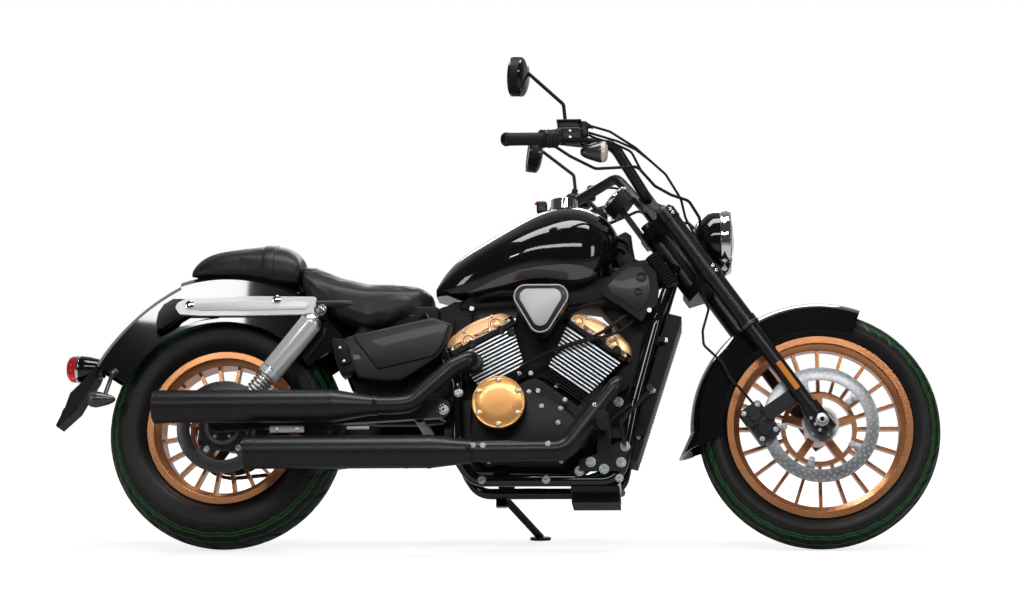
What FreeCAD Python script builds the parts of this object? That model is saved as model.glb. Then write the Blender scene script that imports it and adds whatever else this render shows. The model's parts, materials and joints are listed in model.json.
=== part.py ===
import FreeCAD, Part

import math
import os
import re

from FreeCAD import Placement, Rotation, Vector

# Cruiser motorcycle, leaning on its side stand.
# Bike frame while it is modelled: X forward from the rear axle, Y to the rider's
# left, Z up from the ground, millimetres.  At the end every sub-part gets the same
# Placement, which leans the machine onto its stand and puts the origin under the
# middle of its bounding box.

doc = FreeCAD.newDocument("cruiser_motorcycle")
sheet = doc.addObject("Spreadsheet::Sheet", "Sizes")

# alias, value (mm or degrees), what it is
SIZES = (
    ("wheelbase", 1652, "rear axle to front axle"),
    ("lean_angle", 13, "lean to the left on the side stand"),
    ("fork_rake", 35, "steering axis from the vertical"),
    ("fork_offset", 48, "fork legs ahead of the steering axis"),
    ("fork_half_spacing", 112, "fork leg from the middle plane"),
    ("front_tyre_radius", 332, "outer radius of the front tyre"),
    ("front_tyre_width", 130, "section width of the front tyre"),
    ("front_crown_radius", 66, "tread crown of the front tyre"),
    ("front_bead_radius", 241.3, "19 inch bead seat"),
    ("front_rim_width", 84, "between the front rim flanges"),
    ("rear_tyre_radius", 333, "outer radius of the rear tyre"),
    ("rear_tyre_width", 180, "section width of the rear tyre"),
    ("rear_crown_radius", 95, "tread crown of the rear tyre"),
    ("rear_bead_radius", 203.2, "16 inch bead seat"),
    ("rear_rim_width", 120, "between the rear rim flanges"),
    ("tyre_wall", 11, "carcass and tread thickness"),
    ("rim_flange_height", 12, "flange above the bead seat"),
    ("rim_wall", 6, "thickness of the rim barrel"),
    ("bead_gap", 0.3, "tyre bead to rim"),
    ("hub_radius", 38, "wheel hub barrel"),
    ("spoke_ring_radius", 98, "middle of the ring between the two sets of spokes"),
    ("spoke_ring_width", 12, "radial width of that ring"),
    ("inner_spoke_width", 22, "width of each of the inner spokes"),
    ("outer_spoke_width", 9, "width of each of the outer spokes"),
    ("spoke_depth", 30, "spokes along the axle"),
    ("axle_radius", 10, "both wheel axles"),
    ("axle_clearance", 0.5, "hub bore around the axle"),
    ("axle_fit", 0.2, "axle in the fork feet"),
    ("front_disc_radius", 160, "front brake disc"),
    ("rear_disc_radius", 130, "rear brake disc"),
    ("disc_thickness", 5, "brake discs"),
    ("disc_offset", 74, "disc middle plane from the bike's middle plane"),
    ("disc_band", 36, "radial width of the braking band"),
    ("fork_tube_radius", 26, "upper fork tube"),
    ("fork_slider_radius", 20.5, "lower fork tube"),
    ("fork_tube_top", 732, "top of the fork tube above the axle, along the fork"),
    ("fork_tube_bottom", 332, "lower end of the upper fork tube"),
    ("fork_foot_radius", 27, "axle clamp at the foot of the fork"),
    ("lower_clamp_base", 495, "under side of the lower clamp along the steering axis"),
    ("upper_clamp_base", 700, "under side of the upper clamp"),
    ("clamp_thickness", 30, "both fork clamps"),
    ("clamp_wall", 3, "clamp boss around a fork tube"),
    ("clamp_gap", 0.2, "clamp bore around a fork tube"),
    ("stem_top", 757, "top of the steering stem along its axis"),
    ("head_tube_radius", 32, "steering head outside"),
    ("stem_radius", 17, "steering stem"),
    ("stem_clearance", 1, "running clearance in the steering head"),
    ("bar_radius", 15.5, "handlebar tube outside"),
    ("bar_end_radius", 11, "handlebar tube inside the controls"),
    ("bar_station", 38, "middle of the handlebar ahead of the steering axis"),
    ("bar_height", 800, "middle of the handlebar along the steering axis"),
    ("bar_bend", 48, "bend radius of the handlebar"),
    ("bar_wall", 3, "handlebar tube wall"),
    ("grip_radius", 16.5, "handlebar grip"),
    ("grip_length", 124, "handlebar grip"),
    ("mirror_radius", 54, "mirror housing"),
    ("mirror_depth", 28, "mirror housing"),
    ("headlight_radius", 92, "headlight rim"),
    ("headlight_depth", 100, "headlight bucket and rim"),
    ("headlight_ring", 22, "depth of the headlight rim"),
    ("signal_radius", 30, "front turn signals"),
    ("rear_signal_radius", 23, "rear turn signals"),
    ("tail_lamp_radius", 39, "tail lamp lens"),
    ("hose_radius", 3.5, "brake hose and control cables"),
    ("lead_radius", 4.2, "switch leads"),
    ("hose_gap", 0.3, "end of a hose or lead to what holds it"),
    ("gauge_radius", 44, "instrument pod"),
    ("gauge_depth", 46, "instrument pod"),
    ("cradle_radius", 16, "cradle tube outside"),
    ("cradle_half_width", 112, "cradle tube from the middle plane"),
    ("backbone_radius", 24, "backbone tube outside"),
    ("subframe_radius", 13, "seat rail tube outside"),
    ("crank_height", 305, "crankshaft centre above the ground"),
    ("crank_station", 862, "crankshaft centre ahead of the rear axle"),
    ("case_half_width", 92, "crankcase half width"),
    ("front_cylinder_tilt", 35, "front cylinder forward of the vertical"),
    ("rear_cylinder_tilt", 27.3, "rear cylinder behind the vertical"),
    ("front_head_top", 322, "front cylinder head top above the crank"),
    ("rear_head_top", 310, "rear cylinder head top above the crank"),
    ("cylinder_base", 140, "cylinder foot above the crank"),
    ("fin_pitch", 7.2, "cooling fin spacing"),
    ("fin_thickness", 3.2, "cooling fin"),
    ("fin_half_width", 104, "fins across the bike, half"),
    ("rocker_chord", 208, "rocker cover length"),
    ("rocker_height", 52, "rocker cover height"),
    ("rocker_half_width", 84, "rocker cover across the bike, half"),
    ("muffler_radius", 45, "both mufflers"),
    ("outlet_radius", 30, "muffler outlet inside"),
    ("outlet_depth", 90, "open depth of the muffler outlet"),
    ("upper_pipe_radius", 24, "pipe of the rear cylinder outside"),
    ("lower_cone_radius", 32, "small end of the lower muffler's cone"),
    ("pipe_radius", 21, "pipe of the front cylinder outside"),
    ("shield_radius", 29, "heat shield of the lower pipe"),
    ("muffler_offset", 222, "muffler axis from the middle plane"),
    ("upper_muffler_height", 361, "upper muffler axis above the ground"),
    ("lower_muffler_height", 234, "lower muffler axis above the ground"),
    ("swingarm_pivot_x", 618, "swingarm pivot ahead of the rear axle"),
    ("swingarm_pivot_z", 368, "swingarm pivot above the ground"),
    ("swingarm_offset", 135, "swingarm arm from the middle plane"),
    ("swingarm_depth", 52, "height of each swingarm arm"),
    ("swingarm_thickness", 26, "width of each swingarm arm"),
    ("pivot_bolt_radius", 10, "swingarm pivot bolts"),
    ("pivot_gap", 0.2, "pivot bolt in its eye"),
    ("shock_radius", 31, "shock absorber spring and cover"),
    ("shock_offset", 162, "shock absorber from the middle plane"),
    ("front_fender_radius", 354, "outer radius of the front fender"),
    ("front_fender_half_width", 78, "front fender half width"),
    ("rear_fender_radius", 450, "outer radius of the rear fender under the seat"),
    ("fender_tail_radius", 603, "outer radius of the rear fender's tail"),
    ("fender_tail_x", 142.4, "centre of that tail ahead of the rear axle"),
    ("fender_tail_z", 218.3, "centre of that tail above the ground"),
    ("rear_fender_lip", 291, "lower edge of the rear fender from the axle"),
    ("rear_fender_half_width", 116, "rear fender half width"),
    ("front_fender_lip", 268, "lower edge of the front fender from the axle"),
    ("fender_wall", 4, "fender sheet and its rolled edge"),
    ("tank_half_width", 160, "fuel tank half width"),
    ("cap_radius", 38, "fuel cap"),
    ("sprocket_radius", 108, "rear sprocket outside"),
    ("drive_sprocket_radius", 42, "drive sprocket outside"),
    ("drive_x", 640, "drive sprocket ahead of the rear axle"),
    ("drive_z", 330, "drive sprocket above the ground"),
    ("drive_line", 102.5, "chain middle plane from the bike's middle plane"),
    ("chain_width", 13, "drive chain"),
    ("chain_depth", 14, "drive chain, along the sprocket's radius"),
    ("chain_gap", 0.8, "chain to sprocket"),
    ("stand_pivot_x", 766, "side stand pivot ahead of the rear axle"),
    ("stand_pivot_y", 155, "side stand pivot to the left"),
    ("stand_pivot_z", 172, "side stand pivot above the ground"),
    ("stand_foot_x", 866, "side stand foot ahead of the rear axle"),
    ("stand_foot_y", 300, "side stand foot to the left"),
    ("stand_leg_radius", 11, "side stand leg"),
    ("stand_foot_radius", 30, "side stand foot pad"),
    ("stand_foot_thickness", 8, "side stand foot pad"),
    ("stand_thread_radius", 4, "threads for a paddock stand's bobbins"),
    ("stand_thread_depth", 14, "depth of those threads"),
    ("plate_hole_radius", 3, "number plate bolt holes"),
    ("plate_hole_spacing", 46, "number plate bolts, middle to middle"),
    ("tube_gap", 0.25, "parts that seat against a frame tube"),
    ("caliper_gap", 5, "brake caliper from its disc"),
    ("clutch_radius", 74, "round clutch cover"),
    ("clutch_depth", 66, "round clutch cover beyond the case cover"),
    ("generator_radius", 88, "round generator cover"),
    ("cover_depth", 36, "right case cover"),
    ("left_cover_depth", 26, "left case cover and its round housing"),
    ("seat_gap", 0.3, "cushions to what carries them"),
)

for row, (alias, value, note) in enumerate(SIZES, 1):
    sheet.set("A%d" % row, alias)
    sheet.set("B%d" % row, str(value))
    sheet.set("C%d" % row, note)
    sheet.setAlias("B%d" % row, alias)
doc.recompute()
size = {alias: float(sheet.get(alias)) for alias, _, _ in SIZES}

X_AXIS = Vector(1, 0, 0)
Y_AXIS = Vector(0, 1, 0)
Z_AXIS = Vector(0, 0, 1)
SIDES = (("right", -1), ("left", 1))

lean = math.radians(size["lean_angle"])
rake = math.radians(size["fork_rake"])

# Each tyre's crown touches the ground at the lean: the rear wheel sets the lift of
# the whole machine and the front axle height follows from it.
lift = size["rear_crown_radius"] * (1 - math.cos(lean))
front_axle_z = (size["front_tyre_radius"] - size["front_crown_radius"]) + (
    size["front_crown_radius"] - lift) / math.cos(lean)
rear_axle = Vector(0, 0, size["rear_tyre_radius"])
front_axle = Vector(size["wheelbase"], 0, front_axle_z)

# Steering frame: origin level with the front axle on the steering axis, local Z up
# along the axis, local X forward and square to it, local Y to the left.
steer_up = Vector(-math.sin(rake), 0, math.cos(rake))
steer_forward = Vector(math.cos(rake), 0, math.sin(rake))
steer_origin = front_axle - steer_forward * size["fork_offset"]
STEERING = Placement(steer_origin, Rotation(steer_forward, Y_AXIS, steer_up, "ZXY"))

nodes = []


def formula(text):
    """A formula on the sheet: every alias in it gets the sheet's name."""
    return re.sub(r"[a-z][a-z_]*", lambda word: "Sizes." + word.group(0), str(text))


def along(point, direction):
    """Placement at point with local Z along direction."""
    return Placement(Vector(*point), Rotation(Z_AXIS, Vector(*direction)))


def cylinder(radius, height, point, direction=(0, 0, 1)):
    piece = doc.addObject("Part::Cylinder", "Cylinder")
    piece.setExpression("Radius", formula(radius))
    piece.setExpression("Height", formula(height))
    piece.Placement = along(point, direction)
    return piece


def cone(radius_one, radius_two, height, point, direction=(0, 0, 1)):
    piece = doc.addObject("Part::Cone", "Cone")
    piece.setExpression("Radius1", formula(radius_one))
    piece.setExpression("Radius2", formula(radius_two))
    piece.setExpression("Height", formula(height))
    piece.Placement = along(point, direction)
    return piece


def box(length, width, height, middle, turn=0.0):
    """Box with its middle at a point, turned about Y by some degrees."""
    piece = doc.addObject("Part::Box", "Box")
    piece.setExpression("Length", formula(length))
    piece.setExpression("Width", formula(width))
    piece.setExpression("Height", formula(height))
    doc.recompute([piece])
    spin = Rotation(Y_AXIS, turn)
    half = Vector(piece.Length.Value / 2, piece.Width.Value / 2, piece.Height.Value / 2)
    piece.Placement = Placement(Vector(*middle) - spin.multVec(half), spin)
    return piece


def fuse(*pieces):
    joined = doc.addObject("Part::MultiFuse", "Joined")
    joined.Shapes = list(pieces)
    joined.Refine = True
    return joined


def group(*pieces):
    """Solids of one node that don't touch each other."""
    held = doc.addObject("Part::Compound", "Group")
    held.Links = list(pieces)
    return held


def cut(base, *tools):
    remains = doc.addObject("Part::Cut", "Remains")
    remains.Base = base
    remains.Tool = tools[0] if len(tools) == 1 else fuse(*tools)
    remains.Refine = True
    return remains


def common(base, tool):
    shared = doc.addObject("Part::Common", "Shared")
    shared.Base = base
    shared.Tool = tool
    return shared


def feature(shape):
    """A shape made by code, for the curved sheet and tube work."""
    piece = doc.addObject("Part::Feature", "Formed")
    piece.Shape = shape
    return piece


def node(piece, label, local=None):
    """Name a finished sub-part; local is its own frame, such as the steering's."""
    piece.Label = label
    nodes.append((piece, label, local or Placement()))
    return piece


def bent_path(points, bends):
    """Wire of straight runs joined by tangent arcs: one bend radius, or one a corner."""
    points = [Vector(*p) for p in points]
    if not isinstance(bends, tuple):
        bends = (bends,) * (len(points) - 2)
    edges = []
    start = points[0]
    for before, corner, after, bend in zip(points, points[1:], points[2:], bends):
        back = (before - corner).normalize()
        ahead = (after - corner).normalize()
        turn = math.pi - back.getAngle(ahead)
        if turn < 0.01:
            continue
        reach = bend * math.tan(turn / 2)
        first = corner + back * reach
        last = corner + ahead * reach
        bisector = (back + ahead).normalize()
        middle = corner + bisector * (bend / math.cos(turn / 2) - bend)
        if (first - start).Length > 0.01:
            edges.append(Part.LineSegment(start, first).toShape())
        edges.append(Part.Arc(first, middle, last).toShape())
        start = last
    edges.append(Part.LineSegment(start, points[-1]).toShape())
    return Part.Wire(edges)


def rod(points, bend, radius):
    """Round bar along a bent path."""
    path = bent_path(points, bend)
    first = path.Edges[0]
    heading = first.tangentAt(first.FirstParameter)
    ring = Part.Wire(Part.makeCircle(radius, Vector(*points[0]), heading))
    return path.makePipeShell([ring], True, False)


def polygon(points):
    points = [Vector(*p) for p in points]
    return Part.Face(Part.makePolygon(points + points[:1]))


def side_plate(outline, y_from, y_to):
    """Plate with an outline of (x, z) corners between two Y stations."""
    face = polygon([(x, y_from, z) for x, z in outline])
    return face.extrude(Vector(0, y_to - y_from, 0))


def rounded(shape, radius, pick):
    """Fillet the edges of shape for which pick(edge) holds."""
    edges = [edge for edge in shape.Edges if pick(edge)]
    return shape.makeFillet(radius, edges)


def across(edge):
    """Edge parallel to Y."""
    line = edge.Vertexes[-1].Point - edge.Vertexes[0].Point
    return len(edge.Vertexes) == 2 and abs(line.y) > 0.99 * line.Length > 0


def soft_plate(outline, y_from, y_to, radius):
    """Side plate whose corners across the bike are rounded."""
    return rounded(side_plate(outline, y_from, y_to), radius, across)


# ---------------------------------------------------------------- wheels
def wheel_profile(points_and_arcs):
    """Face in the YZ plane from rows ("line", y, r) or ("arc", ym, rm, y, r)."""
    edges = []
    _, y_last, r_last = points_and_arcs[0]
    first = Vector(0, y_last, r_last)
    here = first
    for row in points_and_arcs[1:]:
        target = Vector(0, row[-2], row[-1])
        if row[0] == "line":
            edges.append(Part.LineSegment(here, target).toShape())
        else:
            edges.append(Part.Arc(here, Vector(0, row[1], row[2]), target).toShape())
        here = target
    edges.append(Part.LineSegment(here, first).toShape())
    return Part.Face(Part.Wire(edges))


def spin(face, centre, start=0.0, sweep=360.0):
    """Revolve a YZ-plane face about the axle line, then move it to the axle."""
    turned = face.revolve(Vector(0, 0, 0), Y_AXIS, sweep)
    turned.Placement = Placement(centre, Rotation(Y_AXIS, start))
    return turned


def crown_point(radius, crown, y):
    """Radius of the tread at lateral station y."""
    return radius - crown + math.sqrt(crown * crown - y * y)


def tyre_shape(radius, width, crown, bead, rim_width, centre):
    """Carcass with a round tread, hollow inside and open at the beads."""
    wall = size["tyre_wall"]
    half = width / 2
    seat = rim_width / 2 - size["bead_gap"]
    foot = bead + size["bead_gap"]
    edge_y = half - 8
    edge_r = crown_point(radius, crown, edge_y)
    lip = bead + size["rim_flange_height"] + 1
    waist = foot + (radius - foot) * 0.5
    inner_edge_y = edge_y - wall * 0.9
    inner_edge_r = edge_r - wall
    inner_half = half - wall * 1.7
    inner_waist = (lip + inner_edge_r) / 2
    profile = wheel_profile((
        ("line", -seat, foot),
        ("line", -seat, lip),
        ("arc", -half, waist, -edge_y, edge_r),
        ("arc", 0, radius, edge_y, edge_r),
        ("arc", half, waist, seat, lip),
        ("line", seat, foot),
        ("line", seat - wall, foot),
        ("line", seat - wall, lip),
        ("arc", inner_half, inner_waist, inner_edge_y, inner_edge_r),
        ("arc", 0, radius - wall, -inner_edge_y, inner_edge_r),
        ("arc", -inner_half, inner_waist, -seat + wall, lip),
    ))
    return spin(profile, centre, 45.0)


def rim_shape(bead, rim_width):
    """Rim barrel: two flanges, bead seats and a dropped well."""
    half = rim_width / 2
    wall = size["rim_wall"]
    top = bead + size["rim_flange_height"]
    well = bead - 22
    return wheel_profile((
        ("line", -half - wall, top),
        ("line", -half, top),
        ("line", -half, bead),
        ("line", -half + 18, bead),
        ("line", -half + 26, well + wall),
        ("line", half - 26, well + wall),
        ("line", half - 18, bead),
        ("line", half, bead),
        ("line", half, top),
        ("line", half + wall, top),
        ("line", half + wall, bead - wall),
        ("line", half - 14, bead - wall),
        ("line", half - 24, well),
        ("line", -half + 24, well),
        ("line", -half + 14, bead - wall),
        ("line", -half - wall, bead - wall),
    ))


def cast_wheel(label, bead, rim_width, hub_half, centre, inner_count, outer_count, first_spoke):
    """Cast wheel: hub, inner spokes, ring, outer spokes and rim barrel."""
    depth = size["spoke_depth"]
    ring = size["spoke_ring_radius"]
    ring_half = size["spoke_ring_width"] / 2
    well = bead - 22
    barrel = spin(rim_shape(bead, rim_width), Vector(0, 0, 0))
    start = Vector(0, -hub_half, 0)
    hub = Part.makeCylinder(size["hub_radius"], 2 * hub_half, start, Y_AXIS)
    low = Vector(0, -depth / 2, 0)
    middle = Part.makeCylinder(ring + ring_half, depth, low, Y_AXIS)
    middle = middle.cut(Part.makeCylinder(ring - ring_half, depth, low, Y_AXIS))
    solids = [barrel, middle]
    # count, width, inner radius, outer radius, first angle
    spokes = (
        (inner_count, size["inner_spoke_width"], size["hub_radius"] - 4, ring, 0.0),
        (outer_count, size["outer_spoke_width"], ring, well + 3, first_spoke),
    )
    for count, width, near, far, first in spokes:
        for index in range(count):
            spoke = Part.makeBox(width, depth, far - near, Vector(-width / 2, -depth / 2, near))
            spoke.rotate(Vector(0, 0, 0), Y_AXIS, first + index * 360.0 / count)
            solids.append(spoke)
    wheel = hub.multiFuse(solids)
    bore = size["axle_radius"] + size["axle_clearance"]
    wheel = wheel.cut(Part.makeCylinder(bore, 2 * hub_half, start, Y_AXIS))
    wheel = wheel.removeSplitter()
    wheel.translate(centre)
    return node(feature(wheel), label)


front_hub_half = size["disc_offset"] - size["disc_thickness"] / 2
rear_hub_half = front_hub_half
node(feature(tyre_shape(size["front_tyre_radius"], size["front_tyre_width"],
                        size["front_crown_radius"], size["front_bead_radius"],
                        size["front_rim_width"], front_axle)), "front_tyre")
node(feature(tyre_shape(size["rear_tyre_radius"], size["rear_tyre_width"],
                        size["rear_crown_radius"], size["rear_bead_radius"],
                        size["rear_rim_width"], rear_axle)), "rear_tyre")
cast_wheel("front_rim", size["front_bead_radius"], size["front_rim_width"],
           front_hub_half, front_axle, 5, 20, 0.0)
cast_wheel("rear_rim", size["rear_bead_radius"], size["rear_rim_width"],
           rear_hub_half, rear_axle, 5, 20, 9.0)


def brake_disc(label, radius, centre, y_middle, carrier_bolts):
    """Braking band carried by a spider that seats on the hub's end."""
    y_low = y_middle - size["disc_thickness"] / 2
    at = (centre.x, y_low, centre.z)
    band = cut(cylinder(radius, "disc_thickness", at, (0, 1, 0)),
               cylinder("%s - disc_band" % radius, "disc_thickness", at, (0, 1, 0)))
    plate = cylinder("hub_radius + 30", "disc_thickness", at, (0, 1, 0))
    arms = []
    for index in range(carrier_bolts):
        reach = size[radius] - size["disc_band"] + 4 - size["hub_radius"] - 20
        arm = box(24, "disc_thickness", reach, (0, 0, 0))
        angle = index * 360.0 / carrier_bolts
        spin_arm = Rotation(Y_AXIS, angle)
        middle = spin_arm.multVec(Vector(-12, 0, size["hub_radius"] + 20))
        arm.Placement = Placement(Vector(centre.x, y_low, centre.z) + middle, spin_arm)
        arms.append(arm)
    bore = cylinder("axle_radius + 6", "disc_thickness", at, (0, 1, 0))
    return node(cut(fuse(band, plate, *arms), bore), label)


brake_disc("front_brake_disc", "front_disc_radius", front_axle, -size["disc_offset"], 5)
brake_disc("rear_brake_disc", "rear_disc_radius", rear_axle, -size["disc_offset"], 5)

# Rear sprocket: a carrier seats on the hub's left end and holds the toothed ring.
hub_end = rear_hub_half
carrier_thickness = size["drive_line"] + 3 - hub_end
ring_at = (0, size["drive_line"] - 3, rear_axle.z)
sprocket_ring = cut(cylinder("sprocket_radius", 6, ring_at, (0, 1, 0)),
                    cylinder("sprocket_radius - 26", 6, ring_at, (0, 1, 0)))
sprocket_boss = cylinder("hub_radius + 6", carrier_thickness, (0, hub_end, rear_axle.z),
                         (0, 1, 0))
sprocket_arms = []
for index in range(5):
    arm = box(26, 6, size["sprocket_radius"] - 20 - 34, (0, 0, 0))
    turn = Rotation(Y_AXIS, index * 72.0)
    offset = turn.multVec(Vector(-13, 0, 34))
    arm.Placement = Placement(Vector(*ring_at) + offset, turn)
    sprocket_arms.append(arm)
node(cut(fuse(sprocket_ring, sprocket_boss, *sprocket_arms),
         cylinder("axle_radius + axle_clearance", carrier_thickness,
                  (0, hub_end, rear_axle.z), (0, 1, 0))), "rear_sprocket")

# Drive chain: one closed band round the two sprockets.
drive_x = size["drive_x"]
drive_z = size["drive_z"]
outer_a = size["sprocket_radius"] + size["chain_gap"] + size["chain_depth"]
outer_b = size["drive_sprocket_radius"] + size["chain_gap"] + size["chain_depth"]


def belt_face(radius_a, radius_b, y):
    """Outline round two circles on the rear axle and the drive sprocket."""
    span = Vector(drive_x, 0, drive_z - rear_axle.z)
    tilt = math.acos((radius_a - radius_b) / span.Length)
    slope = math.atan2(span.z, span.x)

    def rim_point(centre, radius, angle):
        return Vector(centre.x + radius * math.cos(angle), y, centre.z + radius * math.sin(angle))

    far = Vector(drive_x, 0, drive_z)
    top_a = rim_point(rear_axle, radius_a, slope + tilt)
    low_a = rim_point(rear_axle, radius_a, slope - tilt)
    top_b = rim_point(far, radius_b, slope + tilt)
    low_b = rim_point(far, radius_b, slope - tilt)
    rear = rim_point(rear_axle, radius_a, slope + math.pi)
    front = rim_point(far, radius_b, slope)
    return Part.Face(Part.Wire([
        Part.Arc(top_a, rear, low_a).toShape(), Part.LineSegment(low_a, low_b).toShape(),
        Part.Arc(low_b, front, top_b).toShape(), Part.LineSegment(top_b, top_a).toShape()]))


chain_low = size["drive_line"] - size["chain_width"] / 2
chain_shape = belt_face(outer_a, outer_b, chain_low).extrude(Vector(0, size["chain_width"], 0))
chain_shape = chain_shape.cut(
    belt_face(outer_a - size["chain_depth"], outer_b - size["chain_depth"], chain_low - 1)
    .extrude(Vector(0, size["chain_width"] + 2, 0)))
node(feature(chain_shape), "drive_chain")

# ---------------------------------------------------------------- steering assembly
# All of this group is in the steering frame: x ahead of the axis, z up along it.
leg_x = size["fork_offset"]
leg_y = size["fork_half_spacing"]
axle_reach = size["fork_half_spacing"] + size["fork_foot_radius"] + 4

for name, side in SIDES:
    slider = cylinder("fork_slider_radius", "fork_tube_bottom - 20", (leg_x, side * leg_y, 20))
    tube_piece = cylinder("fork_tube_radius", "fork_tube_top - fork_tube_bottom",
                          (leg_x, side * leg_y, size["fork_tube_bottom"]))
    foot = cylinder("fork_foot_radius", 90, (leg_x, side * leg_y, -32))
    seal = cylinder("fork_tube_radius + 3", 26,
                    (leg_x, side * leg_y, size["fork_tube_bottom"] - 6))
    leg = fuse(slider, tube_piece, foot, seal)
    bore = cylinder("axle_radius + axle_fit", 160, (leg_x, side * leg_y - 80, 0), (0, 1, 0))
    node(cut(leg, bore), "fork_leg_" + name, STEERING)

axle_bar = cylinder("axle_radius", 2 * axle_reach, (leg_x, -axle_reach, 0), (0, 1, 0))
axle_hole = cylinder(6, 2 * axle_reach + 20, (leg_x, -axle_reach - 10, 0), (0, 1, 0))
node(cut(fuse(axle_bar, cylinder(15, 8, (leg_x, -axle_reach, 0), (0, -1, 0))), axle_hole),
     "front_axle", STEERING)


def clamp_plate(z_low, rear, ears):
    """Fork clamp: bosses round both legs joined by a web round the stem."""
    thick = size["clamp_thickness"]
    boss = size["fork_tube_radius"] + size["clamp_wall"]
    outline = (
        (rear, -40), (leg_x - 24, -leg_y - 6), (leg_x + 24, -leg_y - 6),
        (leg_x + ears, -40), (leg_x + ears, 40), (leg_x + 24, leg_y + 6),
        (leg_x - 24, leg_y + 6), (rear, 40))
    plate = polygon([(x, y, z_low) for x, y in outline]).extrude(Vector(0, 0, thick))
    for side in (-1, 1):
        post = Part.makeCylinder(boss, thick, Vector(leg_x, side * leg_y, z_low))
        plate = plate.fuse(post)
    for side in (-1, 1):
        hole = Part.makeCylinder(size["fork_tube_radius"] + size["clamp_gap"], thick,
                                 Vector(leg_x, side * leg_y, z_low))
        plate = plate.cut(hole)
    return plate


stem = Part.makeCylinder(size["stem_radius"], size["stem_top"] - size["lower_clamp_base"],
                         Vector(0, 0, size["lower_clamp_base"]))
clamps = clamp_plate(size["lower_clamp_base"], -36, 14).fuse(
    [clamp_plate(size["upper_clamp_base"], -36, 4), stem]).removeSplitter()
node(feature(clamps), "triple_clamps", STEERING)

# Handlebar: risers and one bent tube that steps down inside the controls.
bar_x = size["bar_station"]
bar_z = size["bar_height"]
clamp_top = size["upper_clamp_base"] + size["clamp_thickness"]
to_local = STEERING.inverse()


def steer(x, y, z):
    """A point of the bike frame in the steering frame."""
    return to_local.multVec(Vector(x, y, z))


def steer_way(x, y, z):
    """A direction of the bike frame in the steering frame."""
    return to_local.Rotation.multVec(Vector(x, y, z)).normalize()


# bike-frame corners of the left half of the bar: x, y, z
BAR_CORNERS = (
    (1092, 150, 1113),
    (930, 336, 1075),
    (808, 430, 1044),
)
bend_left, control_left, end_left = [steer(*corner) for corner in BAR_CORNERS]
bar_left = [Vector(bar_x, 62, bar_z), bend_left, control_left]
bar_right = [Vector(p.x, -p.y, p.z) for p in reversed(bar_left)]
bar_points = [tuple(p) for p in bar_right + bar_left]
bar_solid = rod(bar_points, size["bar_bend"], size["bar_radius"])
bar_clear = rod(bar_points, size["bar_bend"], size["bar_radius"] + 0.3)
bar_bore = rod(bar_points, size["bar_bend"], size["bar_radius"] - size["bar_wall"])
risers = []
bar_ends = []
for side in (-1, 1):
    risers.append(Part.makeBox(36, 26, bar_z - clamp_top + 20,
                               Vector(bar_x - 18, side * 42 - 13, clamp_top)))
    bend, inner, outer = [Vector(point.x, side * point.y, point.z)
                          for point in (bend_left, control_left, end_left)]
    bar_way = (inner - bend).normalize()
    bar_ends.append(Part.makeCylinder(size["bar_radius"], 10, inner - bar_way * 10, bar_way))
    bar_ends.append(Part.makeCylinder(size["bar_end_radius"], (outer - inner).Length + 4,
                                      inner - (outer - inner).normalize() * 4, outer - inner))
handlebar = bar_solid.fuse(risers).cut(bar_bore).fuse(bar_ends)
node(feature(handlebar.removeSplitter()), "handlebar", STEERING)

CONTROL_LENGTH = 44.0
control_clear = {}
for name, side in SIDES:
    inner = Vector(control_left.x, side * control_left.y, control_left.z)
    outer = Vector(end_left.x, side * end_left.y, end_left.z)
    way = (outer - inner).normalize()
    grip_start = outer - way * (size["grip_length"] - 4)
    sleeve = Part.makeCylinder(size["grip_radius"], size["grip_length"], grip_start, way)
    block_start = grip_start - way * CONTROL_LENGTH
    block = Part.makeCylinder(24, CONTROL_LENGTH, block_start, way)
    # lever: a perch ahead of the bar, a blade ahead of the grip and a round tip
    ahead = steer_way(1, 0, -0.3)
    ahead = (ahead - way * ahead.dot(way)).normalize()
    perch_start = block_start - way * 12
    perch = Part.makeCylinder(10, 46, perch_start, ahead)
    knuckle = perch_start + ahead * 42
    blade_end = outer - way * 22 + ahead * 54
    blade = Part.makeCylinder(6, (blade_end - knuckle).Length, knuckle, blade_end - knuckle)
    tip = Part.makeSphere(8, blade_end)
    # master cylinder across the bar with its round reservoir on top
    tank_way = steer_way(0, 0, 1)
    master = steer(1006, side * 300, 1100)
    reservoir = Part.makeCylinder(23, 34, master, tank_way)
    bridge_start = perch_start + ahead * 24
    bridge = Part.makeCylinder(12, (master - bridge_start).Length + 8, bridge_start,
                               master - bridge_start)
    shape = sleeve.fuse([block, perch, blade, tip, reservoir, bridge])
    gap = size["hose_gap"]
    control_clear[side] = Part.makeCylinder(23 + gap, 34 + 2 * gap, master - tank_way * gap,
                                            tank_way)
    control_clear[side] = control_clear[side].fuse(
        [Part.makeCylinder(24 + gap, CONTROL_LENGTH + 2 * gap, block_start - way * gap, way),
         Part.makeCylinder(12 + gap, (master - bridge_start).Length, bridge_start,
                           master - bridge_start)])
    grip_hole = Part.makeCylinder(size["bar_end_radius"] + 0.2, 260, outer - way * 230, way)
    shape = shape.cut(grip_hole).cut(bar_clear)
    shape = max(shape.removeSplitter().Solids, key=lambda one: one.Volume)
    node(feature(shape), "hand_controls_" + name, STEERING)

# Mirrors: x, distance out, z of the stalk's foot, of its knee and of the housing
MIRROR_FOOT = (964, 317, 1129)
MIRROR_KNEE = (959, 324, 1177)
MIRROR_TOP = (862, 347, 1262)
MIRROR_MIDDLE = (834, 347, 1251)
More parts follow.
